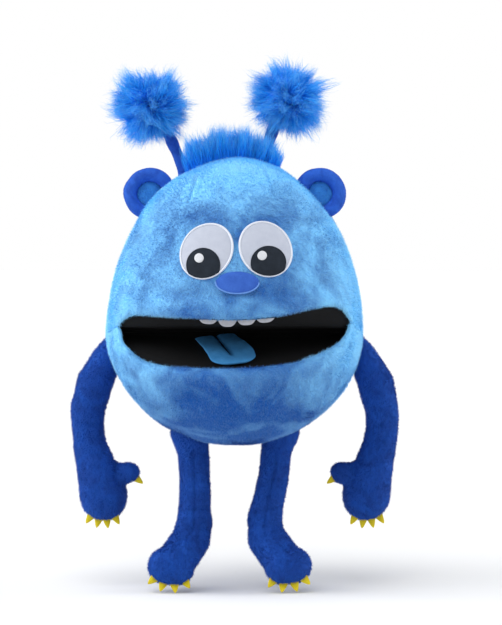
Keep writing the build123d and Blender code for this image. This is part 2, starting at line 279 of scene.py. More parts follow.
def lump(start: np.ndarray, end: np.ndarray, start_radius: float, end_radius: float) -> tuple:
    """Two balls and the cone between them.

    Args:
        start: the first ball's middle.
        end: the second ball's middle.
        start_radius: the first ball's radius.
        end_radius: the second ball's radius.

    Returns:
        The points, the quads and the triangles of both tops.
    """
    sides = LUMP_SIDES
    axis = end - start
    length = np.linalg.norm(axis)
    axis = axis / length
    lean = math.asin(np.clip((start_radius - end_radius) / length, -0.99, 0.99))
    first = np.linspace(LUMP_HOLE - math.pi / 2, lean, LUMP_ROWS)
    second = np.linspace(lean, math.pi / 2 - LUMP_HOLE, LUMP_ROWS)
    along = np.concatenate([start_radius * np.sin(first), length + end_radius * np.sin(second)])
    out = np.concatenate([start_radius * np.cos(first), end_radius * np.cos(second)])
    across = unit(np.cross(axis, [0.0, 1.0, 0.0]))
    over = np.cross(axis, across)
    angle = np.arange(sides) * TURN / sides
    ring = across * np.cos(angle)[:, None] + over * np.sin(angle)[:, None]
    points = start + along[:, None, None] * axis + out[:, None, None] * ring
    points = np.concatenate([points.reshape(-1, 3), [start + axis * along[0]], [start + axis * along[-1]]])
    rows = len(along)
    bottom = cap_faces(0, sides, len(points) - 2)[:, ::-1]
    top = cap_faces((rows - 1) * sides, sides, len(points) - 1)
    return points, grid_faces(rows, sides), np.concatenate([bottom, top])


def fused(lumps: list, voxel: float, smoothing: int) -> tuple:
    """One smooth stuffed form from overlapping lumps.

    Args:
        lumps: what lump() gave for each.
        voxel: the size of the new faces.
        smoothing: how many times it is smoothed.

    Returns:
        The form's points, and its quads.
    """
    mesh = bpy.data.meshes.new("lumps")
    points, faces, first = [], [], 0
    for own_points, quads, tops in lumps:
        points.extend(own_points.tolist())
        faces.extend((quads + first).tolist())
        faces.extend((tops + first).tolist())
        first += len(own_points)
    mesh.from_pydata(points, [], faces)
    source = bpy.data.objects.new("lumps", mesh)
    bpy.context.scene.collection.objects.link(source)
    remesh = source.modifiers.new("join", "REMESH")
    remesh.mode = "VOXEL"
    remesh.voxel_size = voxel
    soften = source.modifiers.new("soften", "SMOOTH")
    soften.factor = 0.5
    soften.iterations = smoothing
    result = source.evaluated_get(bpy.context.evaluated_depsgraph_get()).to_mesh()
    corners = np.zeros(len(result.vertices) * 3, np.float32)
    result.vertices.foreach_get("co", corners)
    quads = np.array([tuple(p.vertices) for p in result.polygons if len(p.vertices) == 4])
    bpy.data.objects.remove(source)
    return corners.reshape(-1, 3).astype(float), quads


def point_normals(points: np.ndarray, quads: np.ndarray) -> np.ndarray:
    """The outward direction at each point of a mesh of quads."""
    a, b, c, d = (points[quads[:, i]] for i in range(4))
    face = np.cross(c - a, d - b)
    total = np.zeros_like(points)
    for i in range(4):
        np.add.at(total, quads[:, i], face)
    return unit(total)


def fasten(piece: bpy.types.Object, slot: str, body: str, *nodes: str) -> None:
    """Puts a piece on its body, and in the place of the nodes it stands for, which it hides."""
    if nodes:
        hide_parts(*nodes)
    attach(piece, body)


def seamed(piece: bpy.types.Object, gap: float) -> None:
    """Joins the two faces of a piece where they meet within a gap."""
    weld = piece.modifiers.new("seam", "WELD")
    weld.merge_threshold = gap


# ---- finishes ----------------------------------------------------------------------------------------

Colour = tuple[int, int, int]
WHITE: Colour = (255, 255, 255)
Output = bpy.types.NodeSocket
Source = Output | float | tuple
Material = bpy.types.Material


def linear(colour: Colour) -> tuple:
    """A colour from 0 to 255 as the linear colour with alpha that a shader takes."""
    shares = [c / 255 for c in colour]
    return (*(s / 12.92 if s <= 0.04045 else ((s + 0.055) / 1.055) ** 2.4 for s in shares), 1.0)


class Shader:
    """A material being wired: a Principled surface and the nodes that feed it."""

    made: dict = {}

    def __init__(self, name: str) -> None:
        """Starts a material with a bare Principled surface."""
        self.result = bpy.data.materials.new(name)
        self.result.use_nodes = True
        self.tree = self.result.node_tree
        self.surface = self.tree.nodes["Principled BSDF"]
        self.place = self.node("ShaderNodeTexCoord").outputs["Object"]

    def node(self, kind: str, **sockets: Source) -> bpy.types.Node:
        """Adds a node and sets or links its inputs, each named in lower case with underscores."""
        made = self.tree.nodes.new(kind)
        for key, value in sockets.items():
            socket = next(s for s in made.inputs if s.name.lower().replace(" ", "_") == key and s.enabled)
            self.put(socket, value)
        return made

    def put(self, socket: Output, value: Source) -> None:
        """Links an output to a socket, or sets the socket's own value."""
        if isinstance(value, Output):
            self.tree.links.new(value, socket)
        else:
            socket.default_value = value

    def noise(self, pitch: float, detail: float, distortion: float = 0.0, stretch: tuple = ()) -> Output:
        """Cloudy noise with patches about pitch metres across."""
        place = self.place
        if stretch:
            mapping = self.node("ShaderNodeMapping", vector=place)
            mapping.inputs["Scale"].default_value = stretch
            place = mapping.outputs[0]
        shape = {"scale": 1 / pitch, "detail": detail, "distortion": distortion}
        return self.node("ShaderNodeTexNoise", vector=place, **shape).outputs["Fac"]

    def span(self, value: Source, low: float, high: float, start: float = 0.0, end: float = 1.0) -> Output:
        """Value between low and high, spread from start to end and held beyond."""
        made = self.node("ShaderNodeMapRange", value=value)
        for i, number in zip((1, 2, 3, 4), (low, high, start, end)):
            made.inputs[i].default_value = number
        return made.outputs[0]

    def sum(self, *values: Source) -> Source:
        """The sum of values or outputs."""
        total = values[0]
        for value in values[1:]:
            made = self.tree.nodes.new("ShaderNodeMath")
            self.put(made.inputs[0], total)
            self.put(made.inputs[1], value)
            total = made.outputs[0]
        return total

    def blend(self, share: Source, first: Source, second: Source) -> Output:
        """A colour between two colours."""
        made = self.tree.nodes.new("ShaderNodeMix")
        made.data_type = "RGBA"
        self.put(made.inputs[0], share)
        self.put(made.inputs[6], first)
        self.put(made.inputs[7], second)
        return made.outputs[2]

    def stored(self, name: str) -> Output:
        """The number that a piece stores at each point under a name."""
        made = self.node("ShaderNodeAttribute")
        made.attribute_name = name
        return made.outputs["Fac"]

    def regions(self, crown: float, cheek: float, belly: float) -> list:
        """Painted light and shade: how much lighter the crown and the sides are painted, where light falls on them,
        and how much darker the underside is painted, in its shade.

        Args:
            crown: how much painted light the crown gains.
            cheek: how much painted light the sides gain over the middle.
            belly: how much painted shade darkens the underside.

        Returns:
            The three outputs to add to a share of light colour.
        """
        apart = self.node("ShaderNodeSeparateXYZ", vector=self.place)
        side = self.tree.nodes.new("ShaderNodeMath")
        side.operation = "ABSOLUTE"
        self.put(side.inputs[0], apart.outputs["X"])
        height = apart.outputs["Z"]
        return [
            self.span(height, 84 * MM, 116 * MM, 0, crown),
            self.span(side.outputs[0], 36 * MM, 82 * MM, -0.25 * cheek, cheek),
            self.span(height, -58 * MM, 6 * MM, -belly, 0),
        ]

    def relief(self, height: Source, distance: float, strength: float) -> None:
        """Raises fine relief on the surface."""
        made = self.node("ShaderNodeBump", height=height, distance=distance, strength=strength)
        self.put(self.surface.inputs["Normal"], made.outputs[0])

    def finish(self, colour: Source, roughness: float, sheen: float, tint: Colour) -> Material:
        """Sets what the surface shows and returns the material."""
        self.put(self.surface.inputs["Base Color"], colour)
        self.surface.inputs["Roughness"].default_value = roughness
        self.surface.inputs["Specular IOR Level"].default_value = 0.25
        self.surface.inputs["Sheen Weight"].default_value = sheen
        self.surface.inputs["Sheen Roughness"].default_value = 0.45
        self.surface.inputs["Sheen Tint"].default_value = linear(tint)
        return self.result


class Finish:
    """What every finish shares: it makes its material once and hands the same one out after that."""

    name: str

    def wire(self, shader: Shader) -> Material:
        """Wires the finish's own nodes."""
        raise NotImplementedError

    def material(self) -> Material:
        """The finish's material."""
        if self.name not in Shader.made:
            Shader.made[self.name] = self.wire(Shader(self.name))
        return Shader.made[self.name]


class NappedFinish(Finish):
    """What plush and the pile on it share: the cloudy patches they are brushed into, and, where given, painted light
    on the crown and sides and painted shade under the belly.
    """

    light: Colour
    dark: Colour
    patch: float
    contrast: float
    # painted light on the crown and sides, painted shade under the belly
    regions: tuple

    def brushed(self, shader: Shader, fine: Output) -> Output:
        """The two plush colours mixed in broad clouds, soft streaks and one finer unevenness, plus painted light on
        the crown and sides and painted shade under the belly where given.
        """
        cloud = shader.noise(self.patch, 2.5, 1.2)
        streak = shader.noise(self.patch / 4, 2.0, 0.6, (1.0, 1.0, 0.6))
        spread = 0.42 * self.contrast
        share = shader.sum(
            shader.span(cloud, 0.36, 0.64, 0.5 - spread, 0.5 + spread),
            shader.span(streak, 0.25, 0.75, -0.11, 0.11),
            fine,
            # painted light on the crown and sides, painted shade under the belly
            *(shader.regions(*self.regions) if any(self.regions) else ()),
        )
        return shader.blend(shader.span(share, 0, 1), linear(self.dark), linear(self.light))


@dataclass(frozen=True)
class PlushFinish(NappedFinish):
    """Short-pile plush, brushed into cloudy light and dark patches."""

    name: str
    light: Colour
    dark: Colour
    patch: float
    contrast: float
    sheen: float = 0.5
    # painted light on the crown and sides, painted shade under the belly
    regions: tuple = (0.0, 0.0, 0.0)

    def wire(self, shader: Shader) -> Material:
        """Brushed patches and a tufted relief."""
        grain = shader.noise(0.9 * MM, 2.0)
        colour = self.brushed(shader, shader.span(grain, 0.2, 0.8, -0.1, 0.1))
        shader.relief(grain, 0.5 * MM, 0.5)
        return shader.finish(colour, 0.85, self.sheen, self.light)


@dataclass(frozen=True)
class PileFinish(NappedFinish):
    """The separate fibres that stand on the plush, in the same cloudy patches and paler at the tips, a painted
    highlight for the light the tips catch.
    """

    name: str
    light: Colour
    dark: Colour
    tip: Colour
    patch: float
    contrast: float = 1.0
    # how far the tips are blended to the tip colour, a painted highlight
    tip_share: float = 0.35
    tone_spread: float = 0.3
    sheen: float = 0.4
    # painted light on the crown and sides, painted shade under the belly
    regions: tuple = (0.0, 0.0, 0.0)

    def wire(self, shader: Shader) -> Material:
        """The plush's patches, each fibre's own tone, and the tips' paler colour, a painted highlight."""
        spread = self.tone_spread / 2
        colour = self.brushed(shader, shader.span(shader.stored("tone"), 0, 1, -spread, spread))
        # painted highlight: paler towards each fibre's tip
        lit = shader.span(shader.stored("tip"), 0.3, 1, 0, self.tip_share)
        colour = shader.blend(lit, colour, linear(self.tip))
        return shader.finish(colour, 0.7, self.sheen, self.tip)


@dataclass(frozen=True)
class FurFinish(Finish):
    """Long shaggy fur, deep in the roots and pale at the wisps: painted shade at the roots and a painted highlight at
    the tips.
    """

    name: str
    root: Colour
    middle: Colour
    tip: Colour

    def wire(self, shader: Shader) -> Material:
        """Three colours from root to tip, shifted from lock to lock: painted shade at the roots, a painted highlight
        at the tips.
        """
        tip = shader.stored("tip")
        tone = shader.span(shader.stored("tone"), 0, 1, -0.18, 0.18)
        place = shader.sum(tip, tone)
        # painted shade deep at the roots, painted highlight towards the tips
        colour = shader.blend(shader.span(place, 0.1, 0.55), linear(self.root), linear(self.middle))
        colour = shader.blend(shader.span(place, 0.55, 1.05), colour, linear(self.tip))
        streak = shader.span(shader.noise(3 * MM, 2.0), 0.2, 0.8, 0.0, 0.22)
        colour = shader.blend(streak, colour, linear(self.root))
        return shader.finish(colour, 0.6, 0.35, self.tip)


@dataclass(frozen=True)
class FeltFinish(Finish):
    """Pressed felt: matted fibres and a faint fuzz."""

    name: str
    colour: Colour
    shade: Colour
    sheen: float = 0.25
    relief: float = 0.35
    fibre: float = 0.45 * MM

    def wire(self, shader: Shader) -> Material:
        """Matted fibres in two tones with low relief."""
        fibre = shader.noise(self.fibre, 4.0, 1.5)
        cloud = shader.noise(6 * MM, 2.0)
        share = shader.sum(shader.span(fibre, 0.25, 0.75, 0, 0.6), shader.span(cloud, 0.3, 0.7, 0, 0.4))
        colour = shader.blend(share, linear(self.shade), linear(self.colour))
        shader.relief(fibre, 0.25 * MM, self.relief)
        return shader.finish(colour, 0.92, self.sheen, self.colour)


@dataclass(frozen=True)
class ThreadFinish(Finish):
    """Embroidery thread with a soft gloss."""

    name: str
    colour: Colour
    shade: Colour

    def wire(self, shader: Shader) -> Material:
        """Twisted strands in two close tones."""
        twist = shader.noise(0.35 * MM, 2.0, 0.5, (1.0, 1.0, 2.5))
        colour = shader.blend(shader.span(twist, 0.3, 0.7), linear(self.shade), linear(self.colour))
        shader.relief(twist, 0.15 * MM, 0.4)
        return shader.finish(colour, 0.45, 0.2, self.colour)


@dataclass(frozen=True)
class WovenFinish(Finish):
    """Plain woven or knitted cloth: crossed threads with small unevenness."""

    name: str
    colour: Colour
    shade: Colour
    pitch: float = 0.7 * MM

    def wire(self, shader: Shader) -> Material:
        """Two crossed waves for the threads and a cloud for wear."""
        threads = []
        scale = 1 / self.pitch / 3.2
        for axis in ("X", "Z"):
            wave = shader.node("ShaderNodeTexWave", vector=shader.place, scale=scale, distortion=0.8)
            wave.bands_direction = axis
            threads.append(wave.outputs["Fac"])
        weave = shader.sum(*(shader.span(t, 0, 1, 0, 0.5) for t in threads))
        cloud = shader.span(shader.noise(9 * MM, 3.0), 0.3, 0.7, -0.2, 0.2)
        share = shader.span(shader.sum(weave, cloud), 0, 1)
        colour = shader.blend(share, linear(self.shade), linear(self.colour))
        shader.relief(weave, 0.2 * MM, 0.5)
        return shader.finish(colour, 0.9, 0.2, self.colour)


@dataclass(frozen=True)
class BoardFinish(Finish):
    """Grey-brown fibre board."""

    name: str
    colour: Colour
    shade: Colour

    def wire(self, shader: Shader) -> Material:
        """Flecks of pulp over long soft clouds."""
        fleck = shader.noise(0.8 * MM, 5.0, 0.4, (1.0, 0.3, 1.0))
        cloud = shader.noise(14 * MM, 2.0)
        share = shader.sum(shader.span(fleck, 0.3, 0.7, 0, 0.6), shader.span(cloud, 0.3, 0.7, 0, 0.4))
        shader.relief(fleck, 0.1 * MM, 0.3)
        return shader.finish(shader.blend(share, linear(self.shade), linear(self.colour)), 0.75, 0.0, WHITE)


# Painted light on the crown and the sides and painted shade under the belly, shared by the body's plush and pile.
BODY_PAINTED_LIGHT = (0.75, 0.46, 0.42)


@dataclass(frozen=True)
class Palette:
    """All the puppet's finishes."""

    body: PlushFinish = PlushFinish(
        "body_plush", (140, 214, 255), (2, 86, 174), 46 * MM, 0.55, 0.25, BODY_PAINTED_LIGHT
    )
    body_pile: PileFinish = PileFinish(
        "body_pile", (146, 218, 255), (3, 90, 180), (184, 230, 255),
        46 * MM, 0.55, 0.28, 0.16, 0.25, BODY_PAINTED_LIGHT,
    )
    limb: PlushFinish = PlushFinish("limb_plush", (20, 78, 172), (9, 52, 132), 22 * MM, 0.6, 0.35)
    limb_pile: PileFinish = PileFinish(
        "limb_pile", (19, 80, 178), (8, 52, 136), (38, 112, 212), 22 * MM, 0.6, 0.35, 0.25, 0.25
    )
    ear: PlushFinish = PlushFinish("ear_plush", (46, 102, 206), (24, 66, 162), 12 * MM, 0.7)
    ear_pile: PileFinish = PileFinish(
        "ear_pile", (44, 112, 214), (18, 68, 170), (110, 168, 242), 12 * MM, 0.7
    )
    ear_lining: PlushFinish = PlushFinish("ear_lining_plush", (62, 144, 222), (42, 116, 198), 10 * MM, 0.5)
    ear_lining_pile: PileFinish = PileFinish(
        "ear_lining_pile", (64, 148, 226), (44, 120, 202), (112, 188, 246), 10 * MM
    )
    fur: FurFinish = FurFinish("hair_fur", (16, 142, 255), (34, 176, 255), (140, 212, 255))
    # black felt, made darker still to paint the shade inside the mouth
    black: FeltFinish = FeltFinish("black_felt", (7, 8, 11), (3, 3, 5), 0.02, 0.5, 0.8 * MM)
    tongue: FeltFinish = FeltFinish("tongue_felt", (70, 148, 208), (46, 116, 176), 0.4, 0.4, 0.7 * MM)
    # a dark thread that paints the shade in the tongue's groove
    tongue_thread: ThreadFinish = ThreadFinish("tongue_thread", (12, 34, 70), (6, 18, 42))
    tooth: FeltFinish = FeltFinish("tooth_felt", (204, 205, 210), (160, 163, 172))
    eye: FeltFinish = FeltFinish("eye_white_felt", (190, 195, 208), (172, 178, 194))
    pupil: FeltFinish = FeltFinish("pupil_felt", (38, 46, 57), (20, 26, 34))
    glint: ThreadFinish = ThreadFinish("glint_thread", (220, 222, 226), (190, 193, 200))
    nose: FeltFinish = FeltFinish("nose_felt", (62, 108, 198), (42, 80, 170), 0.4, 0.5, 0.7 * MM)
    white_thread: ThreadFinish = ThreadFinish("white_thread", (240, 242, 248), (200, 208, 224))
    pale_thread: ThreadFinish = ThreadFinish("pale_thread", (112, 160, 226), (84, 130, 204))
    claw: FeltFinish = FeltFinish("claw_felt", (232, 214, 52), (206, 182, 28), 0.3)
    cloth: WovenFinish = WovenFinish("lining_cloth", (44, 96, 170), (26, 62, 124))
    knit: WovenFinish = WovenFinish("cuff_knit", (46, 106, 196), (24, 66, 142), 1.1 * MM)
    board: BoardFinish = BoardFinish("mouth_board", (128, 118, 104), (98, 90, 80))


FINISH = Palette()


# ---- fibres ------------------------------------------------------------------------------------------


@dataclass
class Lock:
    """A set of fibres: the points along each, the way each is wide, its width and its tone."""

    paths: np.ndarray
    across: np.ndarray
    width: np.ndarray
    tone: np.ndarray

    def build(self, name: str, finish: Finish) -> bpy.types.Object:
        """Makes every fibre a thin ribbon that narrows to a point.

        Args:
            name: the piece's name.
            finish: its finish, which reads tip and tone at each point.

        Returns:
            The piece.
        """
        count, levels, _ = self.paths.shape
        taper = np.linspace(1, 0.45, levels - 1)
        offset = self.across[:, None] * (self.width[:, None] * taper / 2)[..., None]
        pairs = np.stack([self.paths[:, :-1] - offset, self.paths[:, :-1] + offset], axis=2)
        points = np.concatenate([pairs.reshape(count, -1, 3), self.paths[:, -1:]], axis=1)
        per_fibre = 2 * levels - 1
        first = np.arange(count)[:, None] * per_fibre
        steps = [first + np.array([2 * i, 2 * i + 1, 2 * i + 3, 2 * i + 2]) for i in range(levels - 2)]
        point = first + np.array([per_fibre - 3, per_fibre - 2, per_fibre - 1])
        piece = make_piece(name, points.reshape(-1, 3), [*steps, point], finish)
        level = np.concatenate([np.repeat(np.arange(levels - 1), 2), [levels - 1]]) / (levels - 1)
        set_point_values(piece, tip=np.tile(level, count), tone=np.repeat(self.tone, per_fibre))
        return piece


@dataclass
class Pile:
    """Short fibres all over a cloth surface, brushed one way."""

    density: float = 2.4e6
    length: float = 2.0 * MM
    width: float = 0.36 * MM
    lift: float = 48.0
    swirl: float = 0.7
    limit: int = 190000

    def grow(
        self, name: str, points: np.ndarray, quads: np.ndarray, finish: Finish, seed: int,
        keep: Callable[[np.ndarray], np.ndarray] | None = None,
    ) -> bpy.types.Object:
        """Plants fibres on a mesh of quads.

        Args:
            name: the piece's name.
            points: the surface's points.
            quads: its quads.
            finish: the fibres' finish.
            seed: what their places are drawn from.
            keep: a test that says which roots stay.

        Returns:
            The piece of fibres.
        """
        rng = np.random.default_rng(seed)
        a, b, c, d = (points[quads[:, i]] for i in range(4))
        first, second = np.cross(b - a, c - a), np.cross(c - a, d - a)
        area = (np.linalg.norm(first, axis=1) + np.linalg.norm(second, axis=1)) / 2
        count = min(self.limit, int(area.sum() * self.density))
        chosen = np.searchsorted(np.cumsum(area), rng.uniform(0, area.sum(), count))
        chosen = np.minimum(chosen, len(quads) - 1)
        u, v = rng.uniform(size=(2, count, 1))
        corner_normals = point_normals(points, quads)[quads[chosen]]
        corners = points[quads[chosen]]
        weights = np.stack([(1 - u) * (1 - v), u * (1 - v), u * v, (1 - u) * v], axis=1)
        root = (corners * weights).sum(axis=1)
        normal = unit((corner_normals * weights).sum(axis=1))
        if keep is not None:
            stays = keep(root)
            root, normal = root[stays], normal[stays]
            count = len(root)
        down = np.array([0.0, 0.0, -1.0]) + self.swirl * wave_vectors(root, 40 * MM, seed + 5)
        down = down + 0.25 * wave_vectors(root, 9 * MM, seed + 9) + rng.normal(0, 0.3, (count, 3))
        lean = unit(down - normal * (down * normal).sum(axis=1, keepdims=True))
        lift = np.radians(self.lift + rng.normal(0, 12, count))[:, None]
        along = lean * np.cos(lift) + normal * np.sin(lift)
        length = self.length * rng.uniform(0.65, 1.25, count)[:, None]
        across = unit(np.cross(along, normal) + rng.normal(0, 0.2, (count, 3)))
        across = unit(across - along * (across * along).sum(axis=1, keepdims=True))
        paths = np.stack([root - normal * 0.15 * MM, root + along * length], axis=1)
        lock = Lock(paths, across, self.width * rng.uniform(0.7, 1.3, count), rng.uniform(size=count))
        return lock.build(name, finish)


# ---- the body's form -----------------------------------------------------------------------------------


@dataclass
class BodyForm:
    """The egg-shaped body: a circle at every level, tall in the crown and shallower in the belly."""

    radius: float
    crown: float
    belly: float
    centre_y: float
    fold: Vector

    @classmethod
    def from_frame(cls) -> "BodyForm":
        """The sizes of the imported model's cover."""
        low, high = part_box("head_skin")
        crown_low, crown_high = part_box("crown_stuffing")
        fold = next(j for j in frame["joints"] if j["name"] == "jaw_open")["pos_m"]
        middle = (crown_low.y + crown_high.y) / 2
        return cls((high.x - low.x) / 2, high.z, -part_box("jaw_skin")[0].z, middle, Vector(fold))

    def at(self, azimuth: np.ndarray, latitude: np.ndarray, over: np.ndarray | float = 0.0) -> np.ndarray:
        """Points on the body.

        Args:
            azimuth: angle from straight ahead, towards the puppet's left.
            latitude: angle above the widest level.
            over: height over the surface.

        Returns:
            The points.
        """
        height = np.where(latitude > 0, self.crown, self.belly) * np.sin(latitude)
        out = self.radius * np.cos(latitude)
        point = np.stack([out * np.sin(azimuth), self.centre_y - out * np.cos(azimuth), height], axis=-1)
        return point + self.normal(azimuth, latitude) * np.asarray(over)[..., None]

    def normal(self, azimuth: np.ndarray, latitude: np.ndarray) -> np.ndarray:
        """The outward direction there."""
        tall = np.where(latitude > 0, self.crown, self.belly)
        level = np.cos(latitude) * tall
        rise = np.sin(latitude) * self.radius
        return unit(np.stack([level * np.sin(azimuth), -level * np.cos(azimuth), rise], -1))

    def latitude(self, height: np.ndarray) -> np.ndarray:
        """The latitude of a height."""
        return np.arcsin(np.clip(height / np.where(height > 0, self.crown, self.belly), -1, 1))

    def front(self, x: np.ndarray, z: np.ndarray, over: np.ndarray | float = 0.0) -> np.ndarray:
        """Points on the front at given places across and up, at a height over the surface."""
        latitude = self.latitude(z)
        azimuth = np.arcsin(np.clip(x / (self.radius * np.cos(latitude)), -1, 1))
        return self.at(azimuth, latitude, over)

    def top(self, x: np.ndarray, y: np.ndarray) -> tuple:
        """Points on the crown at given places across and from front to back, and the outward directions."""
        out = np.hypot(x, y - self.centre_y)
        azimuth = np.arctan2(x, -(y - self.centre_y))
        latitude = np.arccos(np.clip(out / self.radius, 0, 1))
        return self.at(azimuth, latitude), self.normal(azimuth, latitude)


@dataclass
class MouthLine:
    """The edges of both lips, the creases behind the corners, and the seam round the back.

    Knots are (degrees from straight ahead, height in millimetres); the mouth is a little lopsided.
    """

    form: BodyForm
    fold_end: float = 78.4
    seam_slope: float = math.tan(math.radians(39))
    upper: tuple = (
        (-78.4, 0), (-73, 1.6), (-67.5, 4.6), (-60, 11.2), (-49, 15.0), (-20, 13.8), (0, 13.0),
        (18, 14.8), (37, 19.8), (49, 21.6), (59, 18.0), (67, 7.5), (72, 3.4), (78.4, 0),
    )
    lower: tuple = (
        (-78.4, 0), (-73, 1.6), (-67.5, 4.6), (-61, -9.0), (-46, -21.4), (-27, -24.6), (0, -24.6),
        (26, -21.6), (38.5, -17.4), (51.5, -9.8), (61.5, -1.0), (67, 7.5), (72, 3.4), (78.4, 0),
    )
    roll: tuple = ((0, 4.6), (46, 4.3), (60, 2.8), (67, 1.9), (78.4, 1.4), (92, 1.0), (180, 1.0))

    def back_height(self, azimuth: np.ndarray) -> np.ndarray:
        """The seam's height behind the fold's ends, where it slopes down to the back."""
        low = np.full_like(azimuth, -math.pi / 2)
        high = np.zeros_like(azimuth)
        for _ in range(40):
            middle = (low + high) / 2
            y = self.form.centre_y - self.form.radius * np.cos(middle) * np.cos(azimuth)
            below = self.form.belly * np.sin(middle) + (y - self.form.fold.y) * self.seam_slope < 0
            low = np.where(below, middle, low)
            high = np.where(below, high, middle)
        return self.form.belly * np.sin(high)

    def edge(self, azimuth: np.ndarray, knots: tuple) -> np.ndarray:
        """The height of one lip's edge, or of the crease or seam beyond it."""
        degrees = np.degrees(azimuth)
        ahead = through(knots, degrees) * MM
        return np.where(np.abs(degrees) <= self.fold_end, ahead, self.back_height(azimuth))

    def roll_radius(self, azimuth: np.ndarray) -> np.ndarray:
        """How thick the turned edge of the cover is."""
        return through(self.roll, np.abs(np.degrees(azimuth))) * MM


def unevenness(points: np.ndarray) -> np.ndarray:
    """How far the stuffing pushes the body's cover out or lets it sink."""
    return 0.75 * MM * waves(points, 52 * MM, 11) + 0.3 * MM * waves(points, 17 * MM, 12)


@dataclass
class Cover:
    """One half of the body's plush cover, from its turned edge to the crown or the belly."""

    form: BodyForm
    mouth: MouthLine
    upper: bool
    columns: int = 440
    rows: int = 112
    roll_rows: int = 9
    roll_end: float = 115.0
    seam_depth: float = 1.3 * MM
    seam_width: float = 1.7 * MM

    def seams(self) -> list:
        """The sewn lines that sink into the cover, as (line, depth, width)."""
        form = self.form
        lines = []
        if self.upper:
            sweep = np.linspace(-math.pi / 2, math.pi / 2, 61)
            across, up = form.radius * np.sin(sweep), form.crown * np.cos(sweep)
            side = np.stack([across, np.full(61, form.centre_y), up], -1)
            lines.append((side, self.seam_depth, self.seam_width))
            rise = np.radians(np.linspace(20, 90, 24))
            lines.append((form.at(np.full(24, math.pi), rise), self.seam_depth, self.seam_width))
            for x0, z0, x1, z1, depth in ((-28, 117, -34.5, 97, 1.5), (23, 119.5, 29, 103, 0.8)):
                t = np.linspace(0, 1, 8)
                x = (x0 + (x1 - x0) * t) * MM
                lines.append((form.front(x, (z0 + (z1 - z0) * t) * MM), depth * MM, 1.5 * MM))
        else:
            under = np.radians(np.linspace(-62, -90, 16))
            lines.append((form.at(np.full(16, math.pi), under), self.seam_depth, self.seam_width))
            for sign in (-1, 1):
                drop = np.radians(np.linspace(-4, -90, 28))
                side = form.at(np.full(28, sign * math.pi / 2), drop)
                lines.append((side, self.seam_depth, self.seam_width))
        return lines

    def relief(self, points: np.ndarray, azimuth: np.ndarray, from_edge: np.ndarray) -> np.ndarray:
        """How far the stuffed cover stands out from the plain egg."""
        out = unevenness(points)
        ahead = ease(72, 52, np.abs(np.degrees(azimuth)))
        swell, dip, dip_at = (1.6, 1.1, 17) if self.upper else (1.2, 0.5, 15)
        out += ahead * swell * MM * bump(from_edge - 7 * MM, 8 * MM)
        uneven = dip_at * MM + 1.6 * MM * waves(points, 34 * MM, 13)
        out -= ahead * dip * MM * bump(from_edge - uneven, 4.5 * MM)
        for line, depth, width in self.seams():
            out -= depth * bump(line_distance(points, line), width)
        pucker = waves(points, 9 * MM, 14)
        corner = bump(np.abs(np.degrees(azimuth)) - 69, 9) * bump(from_edge, 14 * MM)
        return out + 0.9 * MM * pucker * corner

    def surface(self) -> tuple:
        """The cover's points row by row, from inside the turned edge to the pole, and its quads."""
        form = self.form
        sign = 1 if self.upper else -1
        azimuth = -math.pi + TURN * np.arange(self.columns) / self.columns
        roll = self.mouth.roll_radius(azimuth)
        edge = self.mouth.edge(azimuth, self.mouth.upper if self.upper else self.mouth.lower)
        start = form.latitude(edge + sign * roll)
        share = np.linspace(0, 1, self.rows)[:, None]
        latitude = start + (sign * math.pi / 2 - start) * share * 0.997
        around = np.broadcast_to(azimuth, latitude.shape)
        plain = form.at(around, latitude)
        flat = plain.reshape(-1, 3)
        from_edge = (sign * (plain[..., 2] - edge)).ravel()
        out = self.relief(flat, around.ravel(), from_edge).reshape(latitude.shape)
        body = form.at(around, latitude, out)
        normal = form.normal(azimuth, start)
        toward = unit(form.at(azimuth, start - sign * 0.01) - form.at(azimuth, start))
        centre = body[0] - normal * roll[:, None]
        angle = np.radians(np.linspace(self.roll_end, 0, self.roll_rows, endpoint=False))[:, None, None]
        rolled = centre + roll[None, :, None] * (normal * np.cos(angle) + toward * np.sin(angle))
        points = np.concatenate([rolled, body])
        return points, azimuth

    def inner_edge(self) -> tuple:
        """The turned edge's inner end ahead of the fold, where the mouth's lining is sewn on."""
        points, azimuth = self.surface()
        ahead = np.abs(np.degrees(azimuth)) <= self.mouth.fold_end
        return points[0][ahead], azimuth[ahead]


def rings(out: np.ndarray, y: np.ndarray, angle: np.ndarray) -> np.ndarray:
    """Rings about the Y axis, of given radii at given places along it."""
    return np.stack([out * np.sin(angle), np.broadcast_to(y, out.shape), out * np.cos(angle)], -1)


